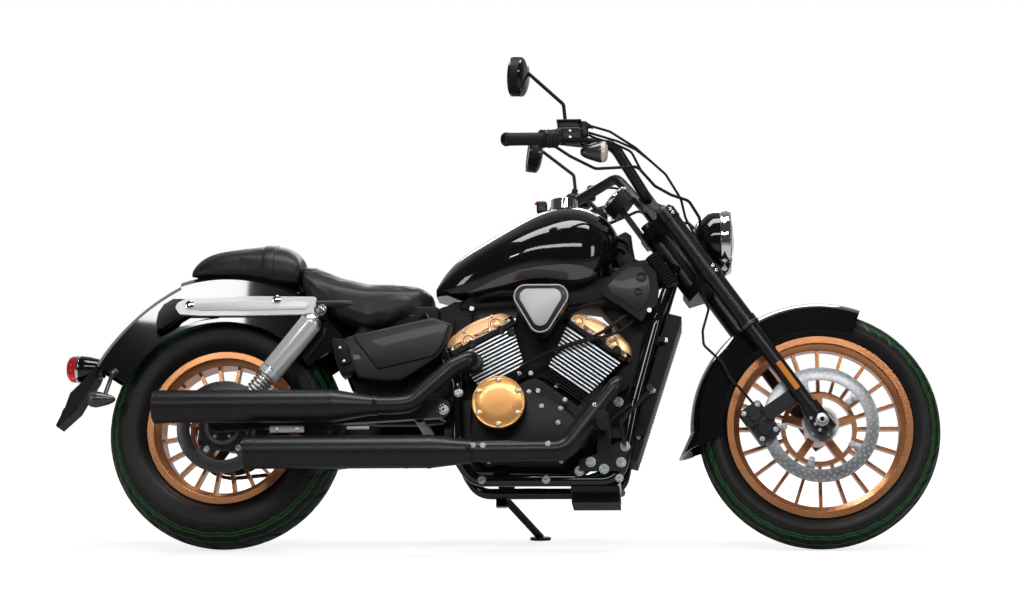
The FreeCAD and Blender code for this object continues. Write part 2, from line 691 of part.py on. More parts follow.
# where its collar sits along the outer run of the handlebar
MIRROR_SHARE = 0.887
mirror_parts = []
for name, side in SIDES:
    foot, knee, top, centre = [
        steer(x, side * y, z)
        for x, y, z in (MIRROR_FOOT, MIRROR_KNEE, MIRROR_TOP, MIRROR_MIDDLE)]
    seat_point = bend_left + (control_left - bend_left) * MIRROR_SHARE
    seat_point = Vector(seat_point.x, side * seat_point.y, seat_point.z)
    face_way = steer_way(-1, side * -0.16, 0.1)
    start = centre - face_way * (size["mirror_depth"] / 2)
    stalk = rod([tuple(foot), tuple(knee), tuple(top), tuple(top + face_way * 14)], 16, 5)
    housing = Part.makeCylinder(size["mirror_radius"], size["mirror_depth"], start, face_way)
    collar = Part.makeCylinder(9, (foot - seat_point).Length, seat_point, foot - seat_point)
    shape = housing.fuse([stalk, collar]).cut(bar_clear)
    mirror_parts.append(max(shape.removeSplitter().Solids, key=lambda one: one.Volume))
node(feature(Part.makeCompound(mirror_parts)), "mirrors", STEERING)

# Headlight: bucket, rim ring and a stay to the lower clamp.
head_centre = steer(1395, 0, 871)
head_way = steer_way(1, 0, 0)
ring_depth = size["headlight_ring"]
back = head_centre - head_way * (size["headlight_depth"] - ring_depth)
ring = cylinder("headlight_radius", ring_depth, tuple(head_centre), tuple(head_way))
shell = cylinder("headlight_radius - 5", 40, tuple(head_centre - head_way * 40),
                 tuple(head_way))
tail = cone("headlight_radius - 44", "headlight_radius - 5",
            "headlight_depth - headlight_ring - 40", tuple(back), tuple(head_way))
stay_rear = leg_x + 14.2
stay = box(44, 30, 44, (stay_rear + 22, 0, size["lower_clamp_base"] + 33))
node(fuse(ring, shell, tail, stay), "headlight", STEERING)

# Instrument pod, its face turned up to the rider, on a foot from the upper clamp.
pod_way = steer_way(-0.727, 0, 0.687)
pod_back = steer(1121, 0, 972)
pod = cylinder("gauge_radius", "gauge_depth", tuple(pod_back), tuple(pod_way))
pod_foot = box(10, 50, pod_back.z - clamp_top + 6,
               (pod_back.x - 10, 0, (pod_back.z + clamp_top + 6) / 2))
node(fuse(pod, pod_foot), "instrument_gauge", STEERING)

# Front turn signals: a bullet body and a lens on a short arm from the handlebar.
SIGNAL = (1044, 300, 1047)
signals = []
for name, side in SIDES:
    centre = steer(SIGNAL[0], side * SIGNAL[1], SIGNAL[2])
    way = steer_way(1, 0, 0)
    body_start = centre - way * 40
    body = Part.makeCone(10, size["signal_radius"], 52, body_start, way)
    lens = Part.makeCylinder(size["signal_radius"], 24, body_start + way * 52, way)
    arm_end = bend_left + (control_left - bend_left) * 0.62
    arm_end = Vector(arm_end.x, side * arm_end.y, arm_end.z)
    arm = Part.makeCylinder(7, (arm_end - centre).Length, centre, arm_end - centre)
    shape = body.fuse([lens, arm]).cut(bar_clear)
    signals.append(max(shape.removeSplitter().Solids, key=lambda one: one.Volume))
node(feature(Part.makeCompound(signals)), "front_turn_signals", STEERING)

# Cables and switch leads, held at the controls, the lower clamp and the headlight.
# thing, radius, bend, then corners: x, distance out, z
CABLES = (
    ("throttle", "hose_radius", 40, (
        (1018, 296, 1128), (1084, 265, 1117), (1154, 225, 1082), (1236, 165, 1023),
        (1278, 110, 968), (1290, 92, 918), (1330, 80, 842), (1341, 74, 744))),
    ("switch lead", "lead_radius", 30, (
        (925, 340, 1060), (978, 324, 1028), (1045, 288, 1003), (1158, 215, 1031),
        (1206, 180, 985), (1250, 150, 968), (1300, 110, 962), (1331, 76, 920),
        (1331, 46, 866))),
)
# second cable beside the first, and the lead of the brake switch
BRANCHES = (
    ("return cable", "hose_radius", 40, (
        (1018, 294, 1108), (1104, 262, 1090), (1154, 229, 1076), (1195, 195.5, 1052.5))),
    ("brake switch", "hose_radius", 30, (
        (1016, 298, 1103), (1042, 285, 1093), (1104, 255, 1081), (1142, 232, 1069),
        (1168, 208, 1022))),
)


def cable_solid(radius, bend, corners, side):
    return rod([tuple(steer(x, side * out, z)) for x, out, z in corners], bend, size[radius])


head_cone = Part.makeCone(size["headlight_radius"] - 44 + size["hose_gap"],
                          size["headlight_radius"] - 5 + size["hose_gap"],
                          size["headlight_depth"] - ring_depth - 40, back, head_way)
clamp_clear = Part.makeBox(160, 300, size["clamp_thickness"] + 2 * size["hose_gap"],
                           Vector(-60, -150, size["lower_clamp_base"] - size["hose_gap"]))
cables = []
for name, side in SIDES:
    throttle, lead = [cable_solid(radius, bend, corners, side)
                      for thing, radius, bend, corners in CABLES]
    if side < 0:
        second, switch = [cable_solid(radius, bend, corners, side)
                          for thing, radius, bend, corners in BRANCHES]
        throttle = throttle.fuse(second)
        lead = lead.fuse(switch)
    for cable in (throttle, lead):
        cable = cable.cut([control_clear[side], head_cone, bar_clear, clamp_clear])
        cables.append(max(cable.removeSplitter().Solids, key=lambda one: one.Volume))
node(feature(Part.makeCompound(cables)), "handlebar_cables", STEERING)

# Front brake caliper: astride the disc behind the right fork leg, bolted to it by a lug.
slot_half = size["disc_thickness"] / 2 + size["caliper_gap"]
caliper_outer = -(size["disc_offset"] + 24)
caliper_inner = -57.0
body = Part.makeBox(66, caliper_inner - caliper_outer, 108, Vector(leg_x - 166, caliper_outer, 44))
body = rounded(body, 10, across)
lug = Part.makeBox(96, 20, 40, Vector(leg_x - 110, caliper_outer - 8, 84))
slot = Part.makeCylinder(size["front_disc_radius"] + 6, 2 * slot_half,
                         Vector(leg_x, -size["disc_offset"] - slot_half, 0), Y_AXIS)
leg_hole = Part.makeCylinder(size["fork_slider_radius"] + 0.3, 400, Vector(leg_x, -leg_y, 0))
foot_hole = Part.makeCylinder(size["fork_foot_radius"] + 0.3, 90, Vector(leg_x, -leg_y, -32))
caliper = body.fuse(lug).cut(slot).cut(leg_hole).cut(foot_hole)
caliper = max(caliper.removeSplitter().Solids, key=lambda one: one.Volume)
node(feature(caliper), "front_brake_caliper", STEERING)

# Brake hose from the lower clamp down to the caliper, held at both ends.
HOSE = ((1330, -66, 710), (1352, -92, 655), (1334, -105, 590), (1336, -105, 549),
        (1386, -105, 501), (1407, -104, 456), (1439, -100, 422), (1482, -88, 372))
hose = rod([tuple(steer(*corner)) for corner in HOSE], 24, size["hose_radius"])
gap = size["hose_gap"]
hose = hose.cut(Part.makeBox(66 + 2 * gap, caliper_inner - caliper_outer + 2 * gap,
                             108 + 2 * gap,
                             Vector(leg_x - 166 - gap, caliper_outer - gap, 44 - gap)))
hose = hose.cut(clamp_clear)
node(feature(max(hose.Solids, key=lambda one: one.Volume)), "front_brake_hose", STEERING)


# ---------------------------------------------------------------- fenders
def fender_face(radius, lip, half, wall):
    """Channel section: crowned top and two side valances down to radius lip."""
    shoulder = radius - half * 0.32
    return wheel_profile((
        ("line", -half, lip),
        ("line", -half, shoulder),
        ("arc", 0, radius, half, shoulder),
        ("line", half, lip),
        ("line", half - wall, lip),
        ("line", half - wall, shoulder - wall * 0.6),
        ("arc", 0, radius - wall, -half + wall, shoulder - wall * 0.6),
        ("line", -half + wall, lip),
    ))


def arc_fender(radius, lip, half, wall, centre, first, last):
    """Fender over angles measured from straight up, positive to the rear."""
    face = fender_face(radius, lip, half, wall)
    return spin(face, centre, -last, last - first)


front_fender = arc_fender(size["front_fender_radius"], size["front_fender_lip"],
                          size["front_fender_half_width"], size["fender_wall"], front_axle,
                          -20, 97)
# straight flap that carries on from its rear end, down and back
FLAP_TOP = Vector(1300, 0, 324)
FLAP_RUN = Vector(-34, 0, -76)
FLAP_KEEP = ((1230, 240), (1264, 247), (1315, 273), (1350, 283), (1350, 345), (1230, 345))
flap_out = math.degrees(math.atan2(-FLAP_RUN.z, -FLAP_RUN.x))
flap = fender_face(size["front_fender_radius"], size["front_fender_radius"] - 60,
                   size["front_fender_half_width"], size["fender_wall"])
flap_turn = Rotation(Y_AXIS, -flap_out)
flap.Placement = Placement(FLAP_TOP - flap_turn.multVec(Z_AXIS) * size["front_fender_radius"],
                           flap_turn)
flap = flap.extrude(FLAP_RUN).common(side_plate(FLAP_KEEP, -120, 120))
front_fender = front_fender.fuse(flap)
# brackets out to the fork legs
stays = []
for side in (-1, 1):
    plate = Part.makeBox(44, leg_y - size["front_fender_half_width"] + 6, 30,
                         Vector(leg_x - 22, 0, 292))
    plate.translate(Vector(0, side * (leg_y + size["front_fender_half_width"]) / 2
                           - (leg_y - size["front_fender_half_width"] + 6) / 2, 0))
    plate = plate.cut(Part.makeCylinder(size["fork_slider_radius"] + 0.2, 60,
                                        Vector(leg_x, side * leg_y, 280)))
    plate = plate.cut(Part.makeCylinder(size["fork_tube_radius"] + 3.2, 60,
                                        Vector(leg_x, side * leg_y,
                                               size["fork_tube_bottom"] - 6.2)))
    plate.Placement = STEERING.multiply(plate.Placement)
    stays.append(plate)
front_fender = front_fender.fuse(stays).removeSplitter()
node(feature(front_fender), "front_fender")

tail_centre = Vector(size["fender_tail_x"], 0, size["fender_tail_z"])


def fender_core(radius, half, centre):
    """Everything inside a fender's outer skin, as a full turn."""
    shoulder = radius - half * 0.32
    return spin(wheel_profile((
        ("line", -half, 100), ("line", -half, shoulder), ("arc", 0, radius, half, shoulder),
        ("line", half, 100))), centre)


def fender_filling(gap):
    """The rear fender's outer shape grown by a gap, with its tail behind the seat."""
    half = size["rear_fender_half_width"] + gap
    front = fender_core(size["rear_fender_radius"] + gap, half, rear_axle)
    tail = fender_core(size["fender_tail_radius"] + gap, half, tail_centre)
    ahead = Part.makeBox(800, 400, 900, Vector(-112, -200, 0))
    behind = Part.makeBox(700, 400, 900, Vector(-800, -200, 0))
    return front.common(ahead).fuse(tail.common(behind))


# The tail's arc carries on from the arc under the seat; both end at the same lip.
TAIL_ANGLES = (23.5, 60.5)
tail = arc_fender(size["fender_tail_radius"], size["rear_fender_lip"] + 135,
                  size["rear_fender_half_width"], size["fender_wall"], tail_centre, *TAIL_ANGLES)
tail = tail.cut(Part.makeCylinder(size["rear_fender_lip"], 400,
                                  rear_axle - Vector(0, 200, 0), Y_AXIS))
rear_fender = arc_fender(size["rear_fender_radius"], size["rear_fender_lip"],
                         size["rear_fender_half_width"], size["fender_wall"], rear_axle, -56, 18)
rear_fender = rear_fender.fuse(tail)
# openings through both sides between the tail, the strut and the arch: x, z
FENDER_WINDOW = ((-148, 691), (-173, 676), (-188, 653), (-193, 625), (-192, 597), (-181, 582),
                 (-167, 586), (-124, 611), (-68, 627), (-14, 634), (-20, 690))
rear_fender = rear_fender.cut(side_plate(FENDER_WINDOW, -150, 150)).removeSplitter()
node(feature(rear_fender), "rear_fender")

# Struts along the fender sides carry the fender from the seat rails.
STRUT = ((-138, 662), (-124, 643), (-66, 639), (60, 638), (262, 640), (262, 690), (60, 694),
         (-112, 687), (-132, 676))
struts = []
for name, side in SIDES:
    near = size["rear_fender_half_width"] + 0.3
    plate = soft_plate(STRUT, side * near, side * (near + 13), 9)
    struts.append(feature(plate))
node(group(*struts), "fender_struts")

# ---------------------------------------------------------------- frame
head_low = size["lower_clamp_base"] + size["clamp_thickness"] + 1
head_high = size["upper_clamp_base"] - 1
head_tube_solid = Part.makeCylinder(size["head_tube_radius"], head_high - head_low,
                                    STEERING.multVec(Vector(0, 0, head_low)), steer_up)
head_bore = Part.makeCylinder(size["stem_radius"] + size["stem_clearance"],
                              head_high - head_low,
                              STEERING.multVec(Vector(0, 0, head_low)), steer_up)
BACKBONE = ((1262, 0, 806), (1060, 0, 786), (760, 0, 712), (600, 0, 662))
backbone_solid = rod(BACKBONE, 220, size["backbone_radius"])
cut_tube = Part.makeCylinder(size["head_tube_radius"] - 1, 260,
                             STEERING.multVec(Vector(0, 0, head_low - 20)), steer_up)
gusset = soft_plate(((1262, 770), (1240, 812), (1120, 800), (1120, 772), (1215, 735)),
                    -9, 9, 8)
head_and_spine = head_tube_solid.fuse([backbone_solid.cut(cut_tube), gusset.cut(cut_tube)])
head_and_spine = head_and_spine.cut(head_bore).removeSplitter()
node(feature(head_and_spine), "backbone")

# Cradle, each side: down tube, low rail, rear upright.  x, distance out, z
CRADLE = (
    (1262, 26, 790),
    (1206, 100, 620),
    (1146, 112, 392),
    (1104, 112, 172),
    (704, 112, 172),
    (664, 128, 232),
    (658, 128, 440),
    (560, 84, 640),
)
head_clear = Part.makeCylinder(size["head_tube_radius"] + size["tube_gap"], head_high - head_low,
                               STEERING.multVec(Vector(0, 0, head_low)), steer_up)
spine_clear = rod(BACKBONE, 220, size["backbone_radius"] + size["tube_gap"])
cradles = {}
cradle_clear = {}
for name, side in SIDES:
    points = [(x, side * out, z) for x, out, z in CRADLE]
    bar = rod(points, 60, size["cradle_radius"])
    cradles[side] = bar.cut(cut_tube).cut(head_clear).cut(spine_clear)
    cradle_clear[side] = rod(points, 60, size["cradle_radius"] + size["tube_gap"])

# The side stand's hinge: the leg swings from its foot on the ground to the rear.
stand_pivot = Vector(size["stand_pivot_x"], size["stand_pivot_y"], size["stand_pivot_z"])
ground_z = (size["stand_foot_y"] * math.sin(lean) - lift) / math.cos(lean)
stand_foot = Vector(size["stand_foot_x"], size["stand_foot_y"], ground_z)
world_up = Vector(0, -math.sin(lean), math.cos(lean))
stand_ankle = stand_foot + world_up * size["stand_foot_thickness"]
stand_down = (stand_ankle - stand_pivot).normalize()
stand_stowed = Vector(-0.985, 0.10, -0.10).normalize()
stand_axis = stand_down.cross(stand_stowed).normalize()
stand_boss = Part.makeCylinder(12, 22, stand_pivot - stand_axis * 36, stand_axis)
stand_pin = Part.makeCylinder(6, 54, stand_pivot - stand_axis * 36, stand_axis)
stand_cap = Part.makeCylinder(10, 5, stand_pivot + stand_axis * 13.5, stand_axis)
stand_bracket = Part.makeBox(30, 30, 26, Vector(stand_pivot.x - 15, 104, 134))
cradles[1] = cradles[1].fuse([stand_boss, stand_pin, stand_cap, stand_bracket])

# Pivot plates carry the swingarm bolt behind the uprights.
pivot = Vector(size["swingarm_pivot_x"], 0, size["swingarm_pivot_z"])
arm_y = size["swingarm_offset"]
arm_half = size["swingarm_thickness"] / 2
for name, side in SIDES:
    shape = cradles[side]
    inner = side * (arm_y - arm_half - 1)
    plate = side_plate(((pivot.x - 18, pivot.z - 20), (pivot.x + 40, pivot.z - 44),
                        (pivot.x + 40, pivot.z + 60), (pivot.x - 18, pivot.z + 20)),
                       inner, inner - side * 8)
    bolt = Part.makeCylinder(size["pivot_bolt_radius"], 2 * arm_half + 14,
                             Vector(pivot.x, inner - side * 8, pivot.z), Vector(0, side, 0))
    cradles[side] = shape.fuse([plate, bolt])

# cross tubes between the cradles: x, z
CROSS_TUBES = ((1094, 172), (606, 545))
for name, side in SIDES:
    shape = cradles[side]
    if side > 0:
        bars = [Part.makeCylinder(12, 300, Vector(x, -150, z), Y_AXIS) for x, z in CROSS_TUBES]
        keep = Part.makeBox(1400, 220, 900, Vector(0, -112, 0))
        bars = [bar.common(keep).cut(cradle_clear[-1]) for bar in bars]
        bars = [max(bar.Solids, key=lambda one: one.Volume) for bar in bars]
        shape = shape.fuse(bars)
    node(feature(shape.removeSplitter()), "cradle_" + name)

# Seat rails from the cradle tops back to the fender struts, with the shock studs.
shock_top = Vector(273, size["shock_offset"], 641)
shock_low = Vector(86, size["shock_offset"], 392)
strut_y = size["rear_fender_half_width"] + size["subframe_radius"] + 0.6
rail_end = 262.3
rails = []
for name, side in SIDES:
    points = [(564, side * 74, 636), (440, side * 92, 656), (345, side * strut_y, 668),
              (rail_end, side * strut_y, 668)]
    rail = rod(points, 60, size["subframe_radius"])
    rail = rail.cut(cradle_clear[side])
    lug = Part.makeBox(30, 22, 54, Vector(rail_end, side * strut_y - 11, 622))
    stud = Part.makeCylinder(8, size["shock_offset"] + 16 - strut_y,
                             Vector(shock_top.x + 6, side * strut_y, shock_top.z),
                             Vector(0, side, 0))
    rail = rail.fuse([lug, stud])
    rails.append(max(rail.removeSplitter().Solids, key=lambda one: one.Volume))
bridge = Part.makeCylinder(9, 184, Vector(440, -92, 656), Y_AXIS)
rails = rails[0].fuse([rails[1], bridge]).removeSplitter()
rails = rails.cut(spine_clear)
rails = max(rails.Solids, key=lambda one: one.Volume)
node(feature(rails), "seat_rails")

# ---------------------------------------------------------------- swingarm and shocks
arms = []
for name, side in SIDES:
    run = rear_axle - pivot
    height = size["swingarm_depth"]
    angle = math.degrees(math.atan2(run.z, -run.x))
    bar = Part.makeBox(run.Length, 2 * arm_half, height, Vector(-run.Length, -arm_half,
                                                               -height / 2))
    bar.Placement = Placement(pivot + Vector(0, side * arm_y, 0),
                              Rotation(Y_AXIS, angle)).multiply(bar.Placement)
    for end in (pivot, rear_axle):
        eye = Part.makeCylinder(height / 2, 2 * arm_half,
                                end + Vector(0, side * arm_y - arm_half, 0), Y_AXIS)
        bar = bar.fuse(eye)
    lug = side_plate(((shock_low.x - 24, 350), (shock_low.x + 24, 350),
                      (shock_low.x + 12, shock_low.z + 14), (shock_low.x - 12,
                                                             shock_low.z + 14)),
                     side * (arm_y - arm_half), side * (arm_y + arm_half))
    stud = Part.makeCylinder(8, size["shock_offset"] + 16 - arm_y,
                             Vector(shock_low.x, side * arm_y, shock_low.z),
                             Vector(0, side, 0))
    arms.append(bar.fuse([lug, stud]))
cross = Part.makeCylinder(18, 2 * (arm_y - arm_half) + 10, Vector(556, -(arm_y - arm_half) - 5,
                                                                  350), Y_AXIS)
rear_shaft = Part.makeCylinder(size["axle_radius"], 2 * (arm_y + arm_half) + 20,
                               rear_axle - Vector(0, arm_y + arm_half + 10, 0), Y_AXIS)
swingarm = arms[0].fuse([arms[1], cross, rear_shaft])
for side in (-1, 1):
    eye_hole = Part.makeCylinder(size["pivot_bolt_radius"] + size["pivot_gap"],
                                 2 * arm_half + 2,
                                 pivot + Vector(0, side * arm_y - arm_half - 1, 0), Y_AXIS)
    swingarm = swingarm.cut(eye_hole)
stand_thread = Vector(48, 0, rear_axle.z + 3)
for side in (-1, 1):
    hole = Part.makeCylinder(size["stand_thread_radius"], size["stand_thread_depth"],
                             stand_thread + Vector(0, side * (arm_y + arm_half), 0),
                             Vector(0, -side, 0))
    swingarm = swingarm.cut(hole)
node(feature(swingarm.removeSplitter()), "swingarm")
shocks = []
for name, side in SIDES:
    top = Vector(shock_top.x + 6, side * shock_top.y, shock_top.z)
    low = Vector(shock_low.x, side * shock_low.y, shock_low.z)
    way = (top - low).normalize()
    length = (top - low).Length
    body = Part.makeCylinder(size["shock_radius"], length - 84 - 40, low + way * 84, way)
    rod_part = Part.makeCylinder(8, length - 30, low + way * 14, way)
    boot = Part.makeCylinder(17, 30, low + way * 58, way)
    shape = body.fuse([rod_part, boot])
    for end in (top, low):
        eye = Part.makeCylinder(17, 22, end - Vector(0, 11, 0), Y_AXIS)
        shape = shape.fuse(eye)
    for end in (top, low):
        shape = shape.cut(Part.makeCylinder(8.2, 60, end - Vector(0, 30, 0), Y_AXIS))
    shocks.append(feature(shape.removeSplitter()))
node(group(*shocks), "rear_shocks")

# ---------------------------------------------------------------- engine
crank = Vector(size["crank_station"], 0, size["crank_height"])
case_half = size["case_half_width"]
# crankcase side outline: x, z
CASE = ((622, 300), (690, 200), (960, 192), (1030, 240), (1030, 345), (979, 390),
        (893, 452), (872, 462), (851, 456), (737, 404), (650, 396), (622, 346))
case = side_plate(CASE, -case_half, case_half)
lugs = []
for side in (-1, 1):
    low_lug = Part.makeBox(44, 26, 26, Vector(760, side * 98 - 13, 176))
    front_lug = Part.makeBox(110, 22, 26, Vector(1010, side * 94 - 11, 290))
    inner_low = Part.makeBox(44, 30, 30, Vector(760, side * 84 - 15, 182))
    inner_front = Part.makeBox(30, 30, 26, Vector(1004, side * 84 - 15, 290))
    lugs += [low_lug, front_lug, inner_low, inner_front]
case = case.fuse(lugs)
case = case.cut(cradle_clear[-1]).cut(cradle_clear[1])
for tilt in (size["front_cylinder_tilt"], -size["rear_cylinder_tilt"]):
    seat = Part.makeBox(160, 240, 60, Vector(-80, -120, size["cylinder_base"]))
    seat.Placement = Placement(crank, Rotation(Y_AXIS, tilt)).multiply(seat.Placement)
    case = case.cut(seat)
drive = Part.makeCylinder(size["drive_sprocket_radius"], 9,
                          Vector(drive_x, size["drive_line"] - 4.5, drive_z), Y_AXIS)
shaft = Part.makeCylinder(12, 30, Vector(drive_x, case_half - 10, drive_z), Y_AXIS)
case = case.fuse([drive, shaft]).removeSplitter()
node(feature(max(case.Solids, key=lambda one: one.Volume)), "crankcase")


def v_frame(tilt):
    """Frame of one cylinder: origin at the crank, local Z up the bore."""
    return Placement(crank, Rotation(Y_AXIS, tilt))


# name, tilt, head top, shift of the head along the chord
CYLINDERS = (
    ("front", size["front_cylinder_tilt"], "front_head_top", -2.0),
    ("rear", -size["rear_cylinder_tilt"], "rear_head_top", 1.0),
)
# rocker cover outline: share of half the chord, share of the height
ROCKER = ((1.0, 0.0), (0.885, 0.577), (0.596, 0.846), (0.0, 1.0), (-0.596, 0.846),
          (-0.885, 0.577), (-1.0, 0.0))
cylinder_shapes = {}
for name, tilt, head_top, shift in CYLINDERS:
    base = size["cylinder_base"]
    top = size[head_top]
    core = box(118, 136, head_top + " - cylinder_base", (0, 0, (base + top) / 2))
    fins = []
    level = base + 10
    while level < top - 12 - size["fin_thickness"]:
        share = (level - base) / (top - base)
        fin = box(2 * (60 + 34 * share), "2 * fin_half_width", "fin_thickness",
                  (shift * share, 0, level + size["fin_thickness"] / 2))
        fins.append(fin)
        level += size["fin_pitch"]
    head_plate = box(190, "2 * fin_half_width - 20", 12, (shift, 0, top - 6))
    if name == "front":
        fins.append(cylinder(size["pipe_radius"] + 5, 40, (52, -20, 260), (1, 0, 0)))
    barrel = fuse(core, head_plate, *fins)
    node(barrel, name + "_cylinder", v_frame(tilt))
    doc.recompute()
    cylinder_shapes[name] = barrel.Shape.copy()
    cylinder_shapes[name].Placement = v_frame(tilt)
    low = -size["rocker_half_width"]
    corners = [Vector(shift + u * size["rocker_chord"] / 2, low, top + v * size["rocker_height"])
               for u, v in ROCKER]
    sweep = [Part.Arc(*corners[at:at + 3]).toShape() for at in (0, 2, 4)]
    outline = Part.Wire(sweep + [Part.LineSegment(corners[6], corners[0]).toShape()])
    drum = Part.Face(outline).extrude(Vector(0, 2 * size["rocker_half_width"], 0))
    node(feature(drum), name + "_rocker_cover", v_frame(tilt))

# right cover with the clutch housing, left cover with the generator housing
RIGHT_COVER = ((696, 236), (745, 212), (950, 212), (1000, 262), (1000, 330), (950, 378),
               (860, 428), (752, 402), (696, 376))
cover_face = -case_half - size["cover_depth"]
right_cover = soft_plate(RIGHT_COVER, -case_half, cover_face, 12)
clutch = Part.makeCylinder(size["clutch_radius"], size["clutch_depth"],
                           Vector(778, cover_face, 376), Vector(0, -1, 0))
right_cover = right_cover.fuse(clutch)
node(feature(right_cover.removeSplitter()), "clutch_cover")
LEFT_COVER = ((716, 236), (765, 212), (950, 212), (1000, 262), (1000, 330), (950, 378),
              (860, 428), (752, 402), (716, 382))
cover_face = case_half + size["left_cover_depth"]
left_cover = soft_plate(LEFT_COVER, case_half, cover_face, 12)
generator = Part.makeCylinder(size["generator_radius"], size["left_cover_depth"],
                              Vector(850, cover_face, 305), Y_AXIS)
left_cover = left_cover.fuse(generator)
node(feature(left_cover.removeSplitter()), "generator_cover")

# Air cleaner: rounded triangle on an intake duct between the cylinders.
AIR = ((790, 704), (996, 704), (891, 532))
air = soft_plate(AIR, -196, -152, 34)
duct = Part.makeCylinder(30, 130, Vector(890, -153, 655), Y_AXIS)
runner = Part.makeCylinder(18, 190, Vector(795, -30, 582), X_AXIS)
neck = Part.makeCylinder(18, 80, Vector(890, -30, 582), Z_AXIS)
air = air.fuse([duct, runner, neck])
for name in cylinder_shapes:
    air = air.cut(cylinder_shapes[name])
air = max(air.Solids, key=lambda one: one.Volume)
node(feature(air.removeSplitter()), "air_cleaner")

# Radiator between and ahead of the down tubes, with lugs to them.
RADIATOR = ((1277, 636), (1238, 646), (1122, 238), (1152, 230))
radiator = side_plate(RADIATOR, -80, 80)
for side in (-1, 1):
    for x, z in ((1190, 560), (1128, 300)):
        lug = Part.makeBox(40, 34, 16, Vector(x, side * 84 - 17, z))
        radiator = radiator.fuse(lug)
radiator = radiator.cut(cradle_clear[-1]).cut(cradle_clear[1])
node(feature(max(radiator.removeSplitter().Solids, key=lambda one: one.Volume)), "radiator")

# Guard plate under the front of the engine, hung from both low rails.
guard = side_plate(((972, 118), (1104, 118), (1104, 150), (972, 150)), -72, 72)
shelf = side_plate(((972, 142), (1104, 142), (1104, 155.8), (972, 155.8)), -118, 118)
node(feature(guard.fuse(shelf).removeSplitter()), "engine_guard")

# ---------------------------------------------------------------- exhaust
def exhaust(points, bends, radius, cone_radius, height, rear, front, cone_end):
    """Muffler with an open outlet, a cone and a pipe from the cylinder head."""
    y = -size["muffler_offset"]
    can = Part.makeCylinder(size["muffler_radius"], front - rear, Vector(rear, y, height), X_AXIS)
    taper = Part.makeCone(size["muffler_radius"], cone_radius, cone_end - front,
                          Vector(front, y, height), X_AXIS)
    run = points + ((cone_end + 50, y, height), (cone_end - 20, y, height))
    pipe = rod(run, bends, radius)
    heading = (Vector(*points[1]) - Vector(*points[0])).normalize()
    port = Part.makeCylinder(radius + 6, 10, Vector(*points[0]), heading)
    outlet = Part.makeCylinder(size["outlet_radius"], size["outlet_depth"],
                               Vector(rear, y, height), X_AXIS)
    return pipe.fuse([port, taper, can]).cut(outlet)


# pipe corners from the head: x, y, z
UPPER_PIPE = ((700, -104.3, 500), (700, -176, 500), (652, -190, 474), (540, -214, 366))
LOWER_PIPE = ((1086.7, -20, 465), (1112, -20, 447.3), (1102, -178, 430), (960, -208, 238))
upper = exhaust(UPPER_PIPE, (26, 26, 60, 60), size["upper_pipe_radius"],
                size["upper_pipe_radius"] + 1, size["upper_muffler_height"], -160, 330, 442)
node(feature(upper.removeSplitter()), "upper_exhaust")
lower = exhaust(LOWER_PIPE, (30, 30, 60, 60), size["pipe_radius"], size["lower_cone_radius"],
                size["lower_muffler_height"], 96, 598, 704)
# heat shield round the pipe from under the down tube to the cone
SHIELD = ((1052.3, -188.5, 362.8), (960, -208, 238), (754, -222, 234), (690, -222, 234))
lower = lower.fuse(rod(SHIELD, (60, 60), size["shield_radius"]))
node(feature(lower.removeSplitter()), "lower_exhaust")


# ---------------------------------------------------------------- tank and seats
def body_section(x, half, top, shoulder, belly, low, floor_half):
    """Closed section across the bike: flat floor, bulged sides and a crowned top."""
    a = Vector(x, floor_half, low)
    b = Vector(x, half, belly)
    c = Vector(x, half * 0.80, shoulder)
    d = Vector(x, 0, top)

    def flip(v):
        return Vector(v.x, -v.y, v.z)

    return Part.Wire([
        Part.LineSegment(flip(a), a).toShape(),
        Part.Arc(a, b, c).toShape(),
        Part.Arc(c, d, flip(c)).toShape(),
        Part.Arc(flip(c), flip(b), flip(a)).toShape(),
    ])


def body_loft(rows):
    return Part.makeLoft([body_section(*row) for row in rows], True, False)


wide = size["tank_half_width"]
# x, half width, top, shoulder, belly, floor, floor half width
TANK = (
    (588, 46, 742, 732, 722, 710, 36),
    (660, 0.60 * wide, 830, 796, 756, 706, 0.52 * wide),
    (770, 0.88 * wide, 899, 852, 792, 720, 0.72 * wide),
    (900, 0.99 * wide, 964, 902, 824, 738, 0.80 * wide),
    (1000, 0.97 * wide, 969, 908, 830, 736, 0.78 * wide),
    (1066, 0.72 * wide, 937, 888, 836, 776, 0.56 * wide),
    (1100, 0.30 * wide, 887, 868, 846, 820, 0.22 * wide),
)
tank = body_loft(TANK)
saddle = rod(BACKBONE, 220, size["backbone_radius"] + 0.3)
under = side_plate(((1262, 600), (1262, 806), (1060, 786), (760, 712), (600, 662), (600, 600)),
                   -size["backbone_radius"] - 0.3, size["backbone_radius"] + 0.3)
tank = tank.cut(saddle).cut(under)
TRIM_LINE = ((560, 660), (560, 672), (665, 700), (720, 720), (776, 742), (831, 759),
             (887, 767), (942, 771), (998, 769), (1053, 754), (1110, 736), (1110, 660))
trim_tool = side_plate(TRIM_LINE, -200, 200)
trim = tank.common(trim_tool)
upper_tank = tank.cut(trim_tool)
node(feature(max(upper_tank.Solids, key=lambda one: one.Volume)), "fuel_tank")
node(feature(trim), "tank_trim")
cap = Part.makeCylinder(size["cap_radius"], 40, Vector(946, 0, 958), Z_AXIS).cut(tank)
cap = max(cap.Solids, key=lambda one: one.Volume)
cap.translate(Vector(0, 0, 0.3))
node(feature(cap), "fuel_cap")

